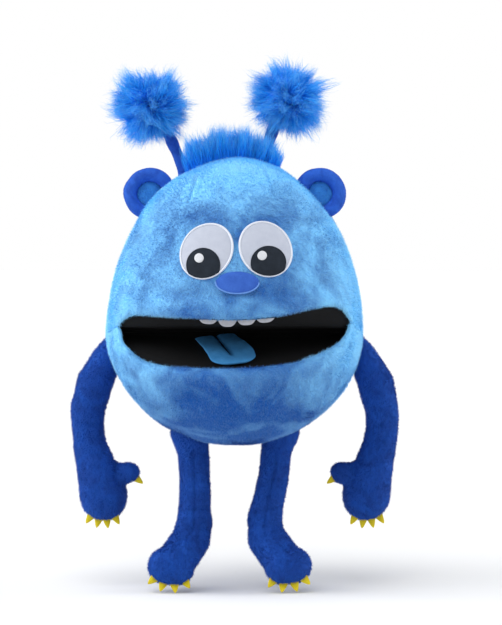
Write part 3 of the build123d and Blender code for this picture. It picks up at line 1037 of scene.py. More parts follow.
@dataclass
class Opening:
    """The round hand opening in the back: its hole, ribbed cuff and cloth sleeve."""

    radius: float
    ribs: int = 56
    cuff_wall: float = 3.3 * MM
    rib_depth: float = 0.5 * MM
    sleeve_front: float = -104 * MM

    def cut(self, points: np.ndarray, quads: np.ndarray) -> tuple:
        """Takes the opening out of a cover and brings the faces round it to a clean circle.

        Args:
            points: the cover's points.
            quads: its quads.

        Returns:
            The points and the quads that stay.
        """
        reach = np.hypot(points[:, 0], points[:, 2])
        inside = (reach < self.radius) & (points[:, 1] > -40 * MM)
        quads = quads[~inside[quads].all(axis=1)]
        rim = inside & np.isin(np.arange(len(points)), quads)
        points = points.copy()
        scale = self.radius / reach[rim]
        points[rim, 0] *= scale
        points[rim, 2] *= scale
        return points, quads

    def build(self) -> None:
        """The cuff and the sleeve, each riding on the head."""
        low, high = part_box("opening_cuff")
        inner = self.radius - self.cuff_wall
        angle = np.arange(self.ribs * 10) * TURN / (self.ribs * 10)
        rib = self.rib_depth * np.abs(np.sin(angle * self.ribs / 2)) ** 0.6
        profile = []
        depth = high.y - low.y
        for share, out in ((0, 0.0), (0.03, 0.3), (0.97, 0.3), (1, 0.0)):
            profile.append((low.y + depth * share, self.radius - 0.9 * MM + out * MM))
        inward = [(y, inner + (0.35 * MM if i in (0, 3) else 0)) for i, (y, _) in enumerate(profile)]
        rows = profile + inward[::-1]
        rows.append(rows[0])
        stretched = []
        for (y0, r0), (y1, r1) in zip(rows[:-1], rows[1:]):
            for t in np.linspace(0, 1, 6, endpoint=False):
                stretched.append((y0 + (y1 - y0) * t, r0 + (r1 - r0) * t))
        y, reach = np.array(stretched).T
        facing = np.where(reach > self.radius - 2 * MM, 1.0, -1.0)
        out = reach[:, None] - facing[:, None] * (self.rib_depth - rib)
        points = rings(out, y[:, None], angle)
        loop = np.concatenate([points, points[:1]])
        cuff = make_piece("cuff", loop.reshape(-1, 3), [grid_faces(len(loop), len(angle))], FINISH.knit)
        fasten(cuff, "cuff_knit", "head", "opening_cuff")
        self.sleeve()
        log.info("hand opening: cuff and sleeve")

    def sleeve(self) -> None:
        """The cloth tunnel from the cuff towards the pockets, softly wrinkled and open at its far end."""
        front = self.sleeve_front
        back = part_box("opening_cuff")[0].y - 0.3 * MM
        y = np.linspace(back, front, 60)[:, None]
        angle = (np.arange(120) * TURN / 120)[None, :]
        wave = np.stack(np.broadcast_arrays(np.sin(angle) * 0.04, y * 1.6, np.cos(angle) * 0.04), -1)
        wrinkle = 0.9 * MM * waves(wave.reshape(-1, 3), 22 * MM, 31).reshape(60, 120)
        held = ease(back, back - 14 * MM, y)
        sheets = []
        for inset in (0.3 * MM, 1.3 * MM):
            out = self.radius - inset - 1.0 * MM * held + wrinkle * held
            sheets.append(rings(out, y, angle))
        loop = np.concatenate([sheets[0], sheets[1][::-1], sheets[0][:1]])
        faces = [grid_faces(len(loop), 120)]
        sleeve = make_piece("palm_sleeve_cloth", loop.reshape(-1, 3), faces, FINISH.cloth)
        fasten(sleeve, "lining_cloth", "head", "palm_sleeve")


@dataclass
class Body:
    """Both halves of the plush body: the head's cover and the jaw's, with the pile on them."""

    form: BodyForm
    mouth: MouthLine
    opening: Opening
    blend_reach: float = 40 * MM
    pile: Pile = field(default_factory=Pile)

    def half(self, upper: bool) -> tuple:
        """One half's points, quads and pole triangles."""
        points, _ = Cover(self.form, self.mouth, upper).surface()
        rows, columns, _ = points.shape
        flat = points.reshape(-1, 3)
        quads = grid_faces(rows, columns)
        pole = flat[-columns:].mean(axis=0)
        tops = cap_faces((rows - 1) * columns, columns, len(flat))
        flat = np.concatenate([flat, [pole]])
        if upper:
            flat, quads = self.opening.cut(flat, quads)
        else:
            quads = quads[:, ::-1]
            tops = tops[:, ::-1]
        return flat, quads, tops

    def build(self, face: "Face") -> None:
        """Makes both covers and their pile.

        Args:
            face: what the head's fibres keep clear of.
        """
        points, quads, tops = self.half(True)
        cover = make_piece("head_cover", points, [quads, tops], FINISH.body)
        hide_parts("head_skin", "crown_stuffing", "muzzle_stuffing", "back_stuffing")
        pile = self.pile.grow("head_pile", points, quads, FINISH.body_pile, 101, face.clear_of)
        for piece in (cover, pile):
            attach(piece, "head")
        points, quads, tops = self.half(False)
        cover = make_piece("jaw_cover", points, [quads, tops], FINISH.body)
        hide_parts("jaw_skin", "jaw_stuffing")
        pile = self.pile.grow("jaw_pile", points, quads, FINISH.body_pile, 102)
        for piece in (cover, pile):
            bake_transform(piece)
        log.info("body: head and jaw covers with their pile")


@dataclass
class MouthLining:
    """The black felt inside the mouth, flat over the boards and turned up to meet each lip; its colour, darker than
    felt, also paints the shade inside the mouth.
    """

    form: BodyForm
    mouth: MouthLine
    rows: int = 26
    rise: float = 0.86

    def sheet(self, upper: bool) -> np.ndarray:
        """The points of one half's lining, row by row from the fold to the lip.

        Args:
            upper: whether it is the upper half.

        Returns:
            The points.
        """
        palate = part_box("upper_palate" if upper else "lower_palate")
        angle = math.radians(6 if upper else -20)
        gap = 2.5 * MM if upper else -2.5 * MM
        end, azimuth = Cover(self.form, self.mouth, upper).inner_edge()
        across = azimuth / math.radians(self.mouth.fold_end)
        half = (palate[1].x - palate[0].x) / 2 - 2 * MM
        start = np.stack([across * half, np.full(len(across), self.form.fold.y), np.zeros(len(across))], -1)
        share = np.linspace(0, 1, self.rows)[:, None]
        points = start + (end - start) * share[..., None]
        ahead = self.form.fold.y - points[..., 1]
        plane = gap * ease(0, 0.1, share) + ahead * math.tan(angle)
        turned = ease(self.rise, 1.0, share)
        points[..., 2] = plane * (1 - turned) + end[:, 2] * turned
        sag = 0.25 * MM * waves(points.reshape(-1, 3), 30 * MM, 41).reshape(points.shape[:2])
        points[..., 2] += sag * (1 - turned)
        return points

    def build(self) -> None:
        """Both linings, the fold between them and the boards behind."""
        for upper, half, body in ((True, "upper", "head"), (False, "lower", "jaw")):
            points = self.sheet(upper)
            faces = grid_faces(*points.shape[:2], closed=False)
            if upper:
                faces = faces[:, ::-1]
            lining = make_piece(f"{half}_mouth_lining", points.reshape(-1, 3), [faces], FINISH.black)
            thicken = lining.modifiers.new("felt", "SOLIDIFY")
            thicken.thickness = 0.8 * MM
            thicken.offset = -1
            fasten(lining, "black_felt", body, f"{half}_palate")
            dress(f"{half}_mouth_board", FINISH.board)
        # the fold's black felt also paints the shade at the back of the mouth
        dress("mouth_fold", FINISH.black)
        dress("finger_pocket", FINISH.cloth)
        dress("thumb_pocket", FINISH.cloth)
        log.info("mouth: lining, fold, boards and pockets")


def dress(node: str, finish: Finish) -> None:
    """Gives a CAD node that stays its finish."""
    piece = frame["nodes"][node]
    for slot in piece.material_slots:
        slot.material = finish.material()


@dataclass
class Teeth:
    """Four felt teeth, scalloped and tucked under the upper lip."""

    form: BodyForm
    mouth: MouthLine
    pitch: float = 13.9 * MM
    middle: float = 2.0 * MM
    tuck: float = 7 * MM
    thickness: float = 1.3 * MM
    set_back: float = 8.5 * MM
    half_width: float = 0.49
    drops: tuple = (4.6, 6.2, 5.2, 4.4)

    def build(self) -> None:
        """Each tooth is a puffed scallop; together they are one strip."""
        rows, columns = 16, 18
        all_points, all_faces, first = [], [], 0
        for i, drop in enumerate(self.drops):
            centre = self.middle + (i - 1.5) * self.pitch
            u = np.linspace(-1, 1, columns)[None, :]
            v = np.linspace(0, 1, rows)[:, None]
            x = centre + u * self.pitch * self.half_width + 0 * v
            scallop = drop * MM * (1 - np.abs(u) ** 3.2 * 0.75)
            azimuth = np.arcsin(np.clip(x / self.form.radius, -1, 1))
            lip = self.mouth.edge(azimuth, self.mouth.upper)
            z = lip + self.tuck - (self.tuck + scallop) * v
            y = -(self.form.radius - self.set_back) * np.cos(azimuth) + self.form.centre_y
            puff = (1 - u**6) * (1 - np.abs(2 * v - 1) ** 8) * self.thickness / 2
            for sign in (-1, 1):
                points = np.stack([x, y + sign * puff, z], -1).reshape(-1, 3)
                faces = grid_faces(rows, columns, closed=False) + first
                all_points.append(points)
                all_faces.append(faces if sign < 0 else faces[:, ::-1])
                first += rows * columns
        faces = [np.concatenate(all_faces)]
        teeth = make_piece("felt_teeth", np.concatenate(all_points), faces, FINISH.tooth)
        seamed(teeth, 0.02 * MM)
        fasten(teeth, "tooth_felt", "head", "teeth")
        log.info("teeth: four felt scallops")


@dataclass
class Tongue:
    """A thin stuffed tongue with a sewn groove down its middle, and a dark thread sunk in the groove that paints its
    shade.
    """

    width: float = 35 * MM
    length: float = 56 * MM
    thickness: float = 2.6 * MM
    turn: float = 18.0
    slope: float = 20.0
    root_x: float = -14.5 * MM
    root_ahead: float = 6.2 * MM
    groove_depth: float = 1.6 * MM
    fold_height: float = 2.4 * MM
    root_drop: float = 1.4 * MM
    thread_sunk: float = 2.2 * MM
    thread_radius: float = 0.55 * MM
    thread_pitch: float = 1.3 * MM

    def build(self) -> None:
        """The tongue as one closed puffed form, laid on the lower lining."""
        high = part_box("tongue")[1]
        rows, columns = 60, 44
        v = np.linspace(0, 1, rows)[:, None]
        u = np.linspace(-1, 1, columns)[None, :]
        tip_start = 1 - self.width / 2 / self.length
        round_off = np.clip(1 - ((v - tip_start) / (1 - tip_start)).clip(0) ** 2.7, 0, 1) ** 0.45
        half = self.width / 2 * (0.9 + 0.1 * ease(0, 0.8, v)) * round_off
        x = u * half
        y = -v * self.length
        plump = np.sqrt(np.clip(1 - u**4, 0, 1)) * np.minimum(1, round_off * 1.6)
        sewn = ease(0.84, 0.64, v)
        groove = self.groove_depth * bump(x, 2.0 * MM) * sewn
        fold = self.fold_height * ease(0.0, 0.5, v) * sewn
        curl = fold * (1 - bump(x, (2.4 + 5.0 * (1 - v)) * MM)) - self.root_drop * (1 - v)
        layers = []
        for sign in (1, -1):
            z = self.thickness / 2 * (1 + sign * plump) - (groove if sign > 0 else 0) + curl
            flat = np.stack(np.broadcast_arrays(x, y, z), -1).reshape(-1, 3)
            layers.append(flat)
        # a dark thread sunk along the groove: painted shade in the fold
        thread_y = -np.linspace(0.02, 0.74, 120) * self.length
        thread = np.stack([0 * thread_y, thread_y, np.full(120, self.thickness - self.thread_sunk)], -1)
        dots = self.thread_radius * (0.75 + 0.25 * np.sin(thread_y / self.thread_pitch * TURN))
        shade_thread_points, shade_thread_faces = tube(thread, dots, 8)
        points = np.concatenate([*layers, shade_thread_points])
        points[:, 2] += 0.25 * MM * waves(points, 12 * MM, 51)
        turn, slope = math.radians(self.turn), math.radians(self.slope)
        x, y = points[:, 0].copy(), points[:, 1].copy()
        points[:, 0] = x * math.cos(turn) - y * math.sin(turn)
        points[:, 1] = x * math.sin(turn) + y * math.cos(turn)
        y, z = points[:, 1].copy(), points[:, 2].copy()
        points[:, 1] = y * math.cos(slope) - z * math.sin(slope)
        points[:, 2] = y * math.sin(slope) + z * math.cos(slope)
        points += np.array([self.root_x, high.y - self.root_ahead, high.z - self.thickness * 1.15])
        faces = grid_faces(rows, columns, closed=False)
        felt = 2 * rows * columns
        # the dark thread piece is painted shade in the groove
        seam = make_piece("tongue_seam", points[felt:], shade_thread_faces, FINISH.tongue_thread)
        faces = np.concatenate([faces[:, ::-1], faces + rows * columns])
        tongue = make_piece("felt_tongue", points[:felt], [faces], FINISH.tongue)
        seamed(tongue, 0.05 * MM)
        fasten(tongue, "tongue_felt", "tongue", "tongue")
        fasten(seam, "tongue_felt", "tongue")
        log.info("tongue: one stuffed felt tongue")


# ---- face ----------------------------------------------------------------------------------------------


@dataclass
class Oval:
    """A leaning oval outline on the face, in metres across and up."""

    x: float
    z: float
    wide: float
    tall: float
    lean: float = 0.0

    def axes(self) -> tuple:
        """The directions of its two half axes."""
        turn = math.radians(self.lean)
        return np.array([math.cos(turn), math.sin(turn)]), np.array([-math.sin(turn), math.cos(turn)])

    def outline(self, angle: np.ndarray, inset: float = 0.0) -> np.ndarray:
        """Points round it, drawn in by inset."""
        first, second = self.axes()
        along = (self.wide - inset) * np.cos(angle)[..., None] * first
        return np.array([self.x, self.z]) + along + (self.tall - inset) * np.sin(angle)[..., None] * second

    def depth(self, x: np.ndarray, z: np.ndarray) -> np.ndarray:
        """Below 1 inside the oval, 1 on it and above 1 outside."""
        first, second = self.axes()
        dx, dz = x - self.x, z - self.z
        across, up = dx * first[0] + dz * first[1], dx * second[0] + dz * second[1]
        return np.hypot(across / self.wide, up / self.tall)

    def pulled_in(self, places: np.ndarray, inset: float) -> np.ndarray:
        """Places outside it brought to its edge along the line to its middle."""
        smaller = Oval(self.x, self.z, self.wide - inset, self.tall - inset, self.lean)
        depth = smaller.depth(places[..., 0], places[..., 1])[..., None]
        middle = np.array([self.x, self.z])
        return np.where(depth > 1, middle + (places - middle) / np.maximum(depth, 1e-6), places)

    def pushed_out(self, places: np.ndarray, outset: float) -> np.ndarray:
        """Places inside it brought straight down to its edge."""
        larger = Oval(self.x, self.z, self.wide + outset, self.tall + outset, self.lean)
        result = places.copy()
        for _ in range(60):
            inside = larger.depth(result[..., 0], result[..., 1]) < 1
            result[..., 1] = np.where(inside, result[..., 1] - 0.3 * MM, result[..., 1])
        return result


@dataclass
class Face:
    """Eyes and nose: felt patches on the plush, edged with satin stitches."""

    form: BodyForm
    eyes: dict = field(default_factory=lambda: {
        Side.RIGHT: {
            "white": Oval(-19.9 * MM, 61.3 * MM, 20.7 * MM, 17.4 * MM, 52),
            "pupil": Oval(-22.0 * MM, 51.2 * MM, 12.0 * MM, 12.0 * MM),
            "glint": Oval(-24.8 * MM, 55.9 * MM, 3.3 * MM, 3.3 * MM),
        },
        Side.LEFT: {
            "white": Oval(22.4 * MM, 62.7 * MM, 20.4 * MM, 17.4 * MM, 126),
            "pupil": Oval(24.2 * MM, 52.6 * MM, 12.3 * MM, 12.0 * MM),
            "glint": Oval(19.8 * MM, 57.7 * MM, 3.3 * MM, 3.3 * MM),
        },
    })
    nose: Oval = field(default_factory=lambda: Oval(2.3 * MM, 39.0 * MM, 15.6 * MM, 7.9 * MM))

    def clear_of(self, roots: np.ndarray) -> np.ndarray:
        """Which fibres' roots don't stand under an eye or the nose."""
        clear = np.ones(len(roots), bool)
        ahead = roots[:, 1] < self.form.centre_y
        ovals = [eye["white"] for eye in self.eyes.values()] + [self.nose]
        for oval in ovals:
            clear &= ~(ahead & (oval.depth(roots[:, 0], roots[:, 2]) < 1.0))
        return clear

    def lift(self, places: np.ndarray, over: np.ndarray) -> np.ndarray:
        """Places across and up as points on the cover, at a height over it."""
        plain = self.form.front(places[..., 0], places[..., 1])
        out = unevenness(plain.reshape(-1, 3)).reshape(plain.shape[:-1])
        return self.form.front(places[..., 0], places[..., 1], over + out)

    def patch(
        self, name: str, oval: Oval, finish: Finish, base: float, puff: float,
        shape: Callable[[np.ndarray], np.ndarray] | None = None,
    ) -> bpy.types.Object:
        """A puffed felt patch.

        Args:
            name: the piece's name.
            oval: its outline.
            finish: its finish.
            base: its edge's height over the cover.
            puff: how much more its middle stands out.
            shape: a change made to its places, such as a straight cut.

        Returns:
            The piece.
        """
        rows, columns = 22, 120
        angle = np.arange(columns) * TURN / columns
        share = np.linspace(1, 0.02, rows)[:, None, None]
        middle = np.array([oval.x, oval.z])
        outline = oval.outline(angle)
        if shape is not None:
            outline = shape(outline)
            middle = outline.mean(axis=0)
        places = middle + (outline - middle) * share
        height = base + puff * (1 - share[..., 0] ** 6) + 0 * places[..., 0]
        top = self.lift(places, height)
        skirt = self.lift(outline[None], np.full((1, columns), -0.9 * MM))
        points = np.concatenate([skirt, top]).reshape(-1, 3)
        pole = points[-columns:].mean(axis=0)
        faces = grid_faces(rows + 1, columns)
        tops = cap_faces(rows * columns, columns, len(points))
        return make_piece(name, np.concatenate([points, [pole]]), [faces, tops], finish)

    def stitches(
        self, name: str, outline: np.ndarray, base: float, finish: Finish, radius: float, closed: bool = True
    ) -> bpy.types.Object:
        """A ridge of satin stitches.

        Args:
            name: the piece's name.
            outline: places across and up that it follows.
            base: its middle's height over the cover.
            finish: its finish.
            radius: the ridge's radius.
            closed: whether the outline meets its own start.

        Returns:
            The piece.
        """
        step = np.linalg.norm(np.diff(outline, axis=0, append=outline[:1]), axis=1)
        at = np.concatenate([[0], np.cumsum(step)])[: len(outline) + (1 if closed else 0)]
        looped = np.concatenate([outline, outline[:1]]) if closed else outline
        total = at[-1]
        count = int(total / (0.17 * MM))
        even = np.linspace(0, total, count, endpoint=not closed)
        places = np.stack([np.interp(even, at, looped[:, i]) for i in range(2)], -1)
        line = self.lift(places, np.full(count, base))
        sides = 10
        lean = np.arange(sides) * TURN / sides
        thread = 1 + 0.13 * np.sin(even[:, None] / (0.55 * MM) * TURN + 1.2 * np.sin(lean)[None, :])
        points, faces = tube(line, radius * thread, sides, closed)
        return make_piece(name, points, faces, finish)

    def build(self) -> None:
        """Whites, pupils, glints and nose, with their stitched edges."""
        angle = np.arange(240) * TURN / 240
        made = []
        for side, eye in self.eyes.items():
            white = eye["white"]
            word = side.word
            piece = self.patch(f"{word}_eye_patch", white, FINISH.eye, 0.9 * MM, 0.9 * MM)
            made.append((piece, "eye_white_felt", f"{word}_eye_white"))
            outline = white.outline(angle)
            edge = self.stitches(f"{word}_eye_edge", outline, 0.9 * MM, FINISH.white_thread, 0.85 * MM)
            made.append((edge, "eye_white_felt"))
            trim = partial(white.pulled_in, inset=0.5 * MM)
            piece = self.patch(f"{word}_pupil_patch", eye["pupil"], FINISH.pupil, 1.9 * MM, 0.45 * MM, trim)
            made.append((piece, "pupil_felt", f"{word}_pupil"))
            outline = trim(eye["pupil"].outline(angle, 0.3 * MM))
            edge = self.stitches(f"{word}_pupil_edge", outline, 1.75 * MM, FINISH.pupil, 0.5 * MM)
            made.append((edge, "pupil_felt"))
            piece = self.patch(f"{word}_glint_patch", eye["glint"], FINISH.glint, 2.5 * MM, 0.5 * MM)
            made.append((piece, "glint_felt", f"{word}_eye_glint"))

        def under_eyes(places: np.ndarray) -> np.ndarray:
            """The nose's places, kept out from under the whites."""
            for eye in self.eyes.values():
                places = eye["white"].pushed_out(places, 0.4 * MM)
            return places

        piece = self.patch("nose_patch", self.nose, FINISH.nose, 0.9 * MM, 1.1 * MM, under_eyes)
        made.append((piece, "nose_felt", "nose"))
        low = angle[(angle > math.pi * 0.97) & (angle < TURN * 1.01)]
        outline = self.nose.outline(low)
        edge = self.stitches("nose_edge", outline, 0.9 * MM, FINISH.pale_thread, 0.6 * MM, False)
        made.append((edge, "nose_felt"))
        for piece, slot, *nodes in made:
            fasten(piece, slot, "head", *nodes)
        log.info("face: %d patches and edges", len(made))


@dataclass
class Ear:
    """A round stuffed ear with a puffed rim and a paler lining in its front."""

    side: Side
    form: BodyForm
    rim_share: float = 0.47
    radius: float = 19.6 * MM
    columns: int = 96
    pile: Pile = field(default_factory=partial(Pile, 1.6e6, 1.7 * MM, 0.38 * MM, swirl=1.2))

    def dish(self, centre: np.ndarray, share: np.ndarray, height: np.ndarray) -> np.ndarray:
        """Rings about the ear's middle at shares of its radius and heights towards the front."""
        angle = np.arange(self.columns) * TURN / self.columns
        wobble = 1 + 0.012 * np.sin(3 * angle + self.side.value)
        out = self.radius * share[:, None] * wobble
        x = centre[0] + out * np.cos(angle)
        z = centre[2] + out * np.sin(angle)
        y = centre[1] - height[:, None] + 0 * x
        return np.stack([x, y, z], -1)

    def build(self) -> None:
        """The ear's cover, its lining and the pile on both."""
        word = self.side.word
        low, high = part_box(f"{word}_ear")
        radius, columns = self.radius, self.columns
        outer = high.x if self.side is Side.LEFT else low.x
        centre = np.array([outer - self.side.value * radius, (low.y + high.y) / 2, high.z - radius])
        groove = self.rim_share
        ring = np.linspace(-0.5, 1.0, 26) * math.pi
        ring_middle = (1 + groove) / 2
        ring_half = (1 - groove) / 2
        share = ring_middle + ring_half * np.cos(ring[::-1])
        height = np.where(ring[::-1] > 0, 6.6, 5.6) * MM * np.sin(ring[::-1])
        back_share = np.linspace(ring_middle, 0.0, 14)[1:-1]
        back_height = -5.6 * MM - 0.8 * MM * np.cos(back_share / ring_middle * math.pi / 2)
        share = np.concatenate([share, back_share])
        height = np.concatenate([height, back_height])
        points = self.dish(centre, share, height)
        points += 0.35 * MM * wave_vectors(points.reshape(-1, 3), 14 * MM, 61).reshape(points.shape)
        flat = points.reshape(-1, 3)
        pole = flat[-columns:].mean(axis=0)
        quads = grid_faces(len(share), columns)
        cover = make_piece(
            f"{word}_ear_cover", np.concatenate([flat, [pole]]),
            [quads, cap_faces((len(share) - 1) * columns, columns, len(flat))], FINISH.ear,
        )
        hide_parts(f"{word}_ear", f"{word}_ear_stuffing")
        outside, seed = self.outside_body, 110 + self.side.value
        pile = self.pile.grow(f"{word}_ear_pile", flat, quads, FINISH.ear_pile, seed, outside)
        inner = np.linspace(groove * 1.06, 0.0, 14)[:-1]
        swell = 0.5 * MM + 2.6 * MM * np.sqrt(np.clip(1 - (inner / (groove * 1.06)) ** 2, 0, 1))
        disc = self.dish(centre, inner, swell).reshape(-1, 3)
        disc_pole = disc[-columns:].mean(axis=0)
        disc_quads = grid_faces(len(inner), columns)
        lining = make_piece(
            f"{word}_ear_disc", np.concatenate([disc, [disc_pole]]),
            [disc_quads, cap_faces((len(inner) - 1) * columns, columns, len(disc))], FINISH.ear_lining,
        )
        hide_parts(f"{word}_ear_lining")
        seed = 120 + self.side.value
        finish = FINISH.ear_lining_pile
        lining_pile = self.pile.grow(f"{word}_ear_disc_pile", disc, disc_quads, finish, seed, outside)
        for piece in (cover, pile):
            fasten(piece, "ear_plush", "head")
        for piece in (lining, lining_pile):
            fasten(piece, "ear_lining_plush", "head")
        log.info("%s ear: cover and lining", word)

    def outside_body(self, roots: np.ndarray) -> np.ndarray:
        """Which roots stand clear of the body."""
        form = self.form
        flat = np.hypot(roots[:, 0], roots[:, 1] - form.centre_y) / form.radius
        return flat**2 + (roots[:, 2] / form.crown) ** 2 > 1.0


# ---- fur -----------------------------------------------------------------------------------------------


@dataclass
class CrownTuft:
    """The strip of long fur that stands along the top of the head."""

    form: BodyForm
    locks: int = 210
    per_lock: int = 64
    length: float = 25 * MM
    end_gap: float = 7.5 * MM
    fibre_width: float = 0.28 * MM
    bend: float = 0.07

    def build(self) -> None:
        """Locks of fibres that lean outwards at the ends and meet in wisps."""
        rng = np.random.default_rng(201)
        low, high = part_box("hair_tuft")
        x = np.linspace(low.x + self.end_gap, high.x - self.end_gap, self.locks) + rng.normal(0, 1.2 * MM, self.locks)
        y = rng.uniform(low.y + 1 * MM, high.y - 1 * MM, self.locks)
        root, normal = self.form.top(x, y)
        middle = (low.x + high.x) / 2
        fan = (x - middle) / ((high.x - low.x) / 2)
        outward = (y - (low.y + high.y) / 2) / (6 * MM) * 0.32
        aim = normal * 0.55 + np.stack([fan * 0.12, outward, np.full(self.locks, 0.62)], -1)
        aim = unit(aim + 0.20 * rng.normal(size=(self.locks, 3)) * [1, 0.8, 0.35])
        reach = self.length * rng.uniform(0.6, 1.1, self.locks) * (1 - 0.42 * np.abs(fan + 0.1) ** 2.5)
        lock_tip = root + aim * reach[:, None]
        tuft = self.spread(rng, root, lock_tip, normal)
        piece = tuft.build("crown_fur", FINISH.fur)
        fasten(piece, "hair_fur", "head", "hair_tuft")
        log.info("crown tuft: %d locks", self.locks)

    def spread(self, rng: np.random.Generator, root: np.ndarray, tip: np.ndarray, normal: np.ndarray) -> Lock:
        """The fibres of every lock, scattered at the root and drawn together at the tip.

        Args:
            rng: what they are drawn from.
            root: each lock's root.
            tip: each lock's tip.
            normal: the outward direction at each root.

        Returns:
            The fibres.
        """
        count = len(root) * self.per_lock
        own_root = np.repeat(root, self.per_lock, axis=0)
        own_tip = np.repeat(tip, self.per_lock, axis=0)
        own_normal = np.repeat(normal, self.per_lock, axis=0)
        scatter = rng.normal(0, 1.7 * MM, (count, 3))
        scatter -= own_normal * (scatter * own_normal).sum(axis=1, keepdims=True)
        start = own_root + scatter - own_normal * 0.8 * MM
        end = own_tip + scatter * 0.35 + rng.normal(0, 1.3 * MM, (count, 3))
        end = start + (end - start) * rng.uniform(0.55, 1.12, (count, 1))
        return curved(rng, start, end, own_normal, self.fibre_width, self.bend)


def curved(
    rng: np.random.Generator, start: np.ndarray, end: np.ndarray, normal: np.ndarray, width: float,
    bend: float,
) -> Lock:
    """Fibres in four points each, bowed a little.

    Args:
        rng: what their bows, widths and tones are drawn from.
        start: their roots.
        end: their tips.
        normal: the way they all swell.
        width: their usual width.
        bend: how much each bows, as a share of its length.

    Returns:
        The fibres.
    """
    along = end - start
    reach = np.linalg.norm(along, axis=1, keepdims=True)
    bow = rng.normal(size=start.shape) * reach * bend
    share = np.array([0.0, 0.36, 0.7, 1.0])[None, :, None]
    paths = start[:, None] + along[:, None] * share + bow[:, None] * (4 * share * (1 - share))
    paths = paths + normal[:, None] * reach[:, None] * 0.10 * (share * (1 - share)) * 4
    across = unit(np.cross(along, rng.normal(size=start.shape)))
    count = len(start)
    return Lock(paths, across, width * rng.uniform(0.7, 1.3, count), rng.uniform(size=count))


@dataclass
class Antenna:
    """A thin stuffed stalk with a shaggy pompom on its end."""

    side: Side
    form: BodyForm
    stalk_radius: float = 4.3 * MM
    locks: int = 250
    per_lock: int = 76
    shape: tuple = (1.08, 1.0, 1.03)
    reach: float = 28.5 * MM
    core: tuple = (6, 15)
    fibre_width: float = 0.30 * MM
    bend: float = 0.10
    pile: Pile = field(default_factory=partial(Pile, 2.2e6, 1.7 * MM, 0.36 * MM, swirl=0.8))

    @property
    def body(self) -> str:
        """The CAD body it rides on."""
        return f"{self.side.word}_antenna"

    def build(self) -> None:
        """Stalk, its pile and the pompom."""
        word = self.side.word
        low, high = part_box(f"{word}_pompom_stuffing")
        ball = (np.array(low) + np.array(high)) / 2
        joint = next(j for j in frame["joints"] if j["name"] == f"{self.body}_sway")["pos_m"]
        root = np.array(joint)
        line_share = np.linspace(0, 1, 46)[:, None]
        into = unit(root - np.array([0, self.form.centre_y, 0.0])) * 7 * MM
        start = root - into
        line = start + (ball - start) * line_share
        bow = np.array([self.side.value * -2.4 * MM, 0, 0.6 * MM])
        line = line + bow * np.sin(line_share * math.pi)
        wrinkle = 1 + 0.07 * np.sin(line_share[:, 0] * 31 + 1.3 * np.sin(line_share[:, 0] * 9))
        foot = 1 + 0.22 * ease(0.22, 0.05, line_share[:, 0])
        points, faces = tube(line, self.stalk_radius * wrinkle * foot, 22)
        points += 0.25 * MM * wave_vectors(points, 9 * MM, 71)
        stalk = make_piece(f"{word}_stalk", points, faces, FINISH.ear)
        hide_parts(f"{word}_antenna_sleeve", f"{word}_antenna_stuffing")
        seed = 130 + self.side.value
        pile = self.pile.grow(f"{word}_stalk_pile", points, faces[0], FINISH.ear_pile, seed)
        pompom = self.pompom(ball, 210 + self.side.value)
        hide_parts(f"{word}_pompom_fur", f"{word}_pompom_stuffing")
        for piece, slot in ((stalk, "ear_plush"), (pile, "ear_plush"), (pompom, "hair_fur")):
            fasten(piece, slot, self.body)
        log.info("%s antenna: stalk and pompom", word)

    def pompom(self, ball: np.ndarray, seed: int) -> bpy.types.Object:
        """A ball of shaggy locks round a small core.

        Args:
            ball: its middle.
            seed: what its locks are drawn from.

        Returns:
            The piece.
        """
        rng = np.random.default_rng(seed)
        index = np.arange(self.locks) + 0.5
        rise = 1 - 2 * index / self.locks
        turn = index * math.pi * (1 + 5**0.5)
        ring = np.sqrt(1 - rise**2)
        even = np.stack([ring * np.cos(turn), ring * np.sin(turn), rise], -1)
        out = unit(even + rng.normal(0, 0.10, (self.locks, 3)))
        uneven = 0.08 * rng.normal(size=self.locks) + 0.13 * waves(out * 0.05, 45 * MM, seed)
        reach = self.reach * (1 + uneven)
        squared = 1 + 0.06 * np.cos(4 * np.arctan2(out[:, 2], out[:, 0]) + math.pi)
        tips = out * np.array(self.shape) * (reach * squared)[:, None]
        combed = 11 * MM * wave_vectors(out * 27 * MM, 26 * MM, seed + 5)
        combed += rng.normal(0, 3.5 * MM, (self.locks, 3))
        combed -= out * (combed * out).sum(axis=1, keepdims=True)
        tips = unit(tips + combed) * np.linalg.norm(tips, axis=1, keepdims=True)
        per = self.per_lock
        count = self.locks * per
        own = np.repeat(out, per, axis=0)
        start_way = unit(own + rng.normal(0, 0.16, (count, 3)))
        start = start_way * rng.uniform(*self.core, (count, 1)) * MM
        end = np.repeat(tips, per, axis=0) + rng.normal(0, 1.7 * MM, (count, 3))
        end = start + (end - start) * rng.uniform(0.6, 1.12, (count, 1))
        lock = curved(rng, start + ball, end + ball, own, self.fibre_width, self.bend)
        return lock.build(f"{self.side.word}_pompom", FINISH.fur)


# ---- limbs ---------------------------------------------------------------------------------------------


def claw_points(base: np.ndarray, down: np.ndarray, across: np.ndarray, width: float, length: float) -> tuple:
    """One puffed felt claw: a rounded triangle with soft edges.

    Args:
        base: the middle of its sewn edge.
        down: the way it points.
        across: the way it is wide.
        width: its width at the base.
        length: its length.

    Returns:
        Its points and its quads.
    """
    rows, columns = 9, 14
    v = np.linspace(0, 1, rows)[:, None]
    angle = (np.arange(columns) * TURN / columns)[None, :]
    half = width / 2 * np.sqrt(np.clip(1 - v, 0.004, 1)) ** 1.25
    thick = 1.0 * MM * np.sqrt(np.clip(1 - v**2, 0.01, 1))
    over = np.cross(across, down)
    x = half * np.sign(np.cos(angle)) * np.abs(np.cos(angle)) ** 0.8
    y = thick * np.sign(np.sin(angle)) * np.abs(np.sin(angle)) ** 0.9
    points = base + (v * length)[..., None] * down + x[..., None] * across + y[..., None] * over
    return points.reshape(-1, 3), grid_faces(rows, columns)


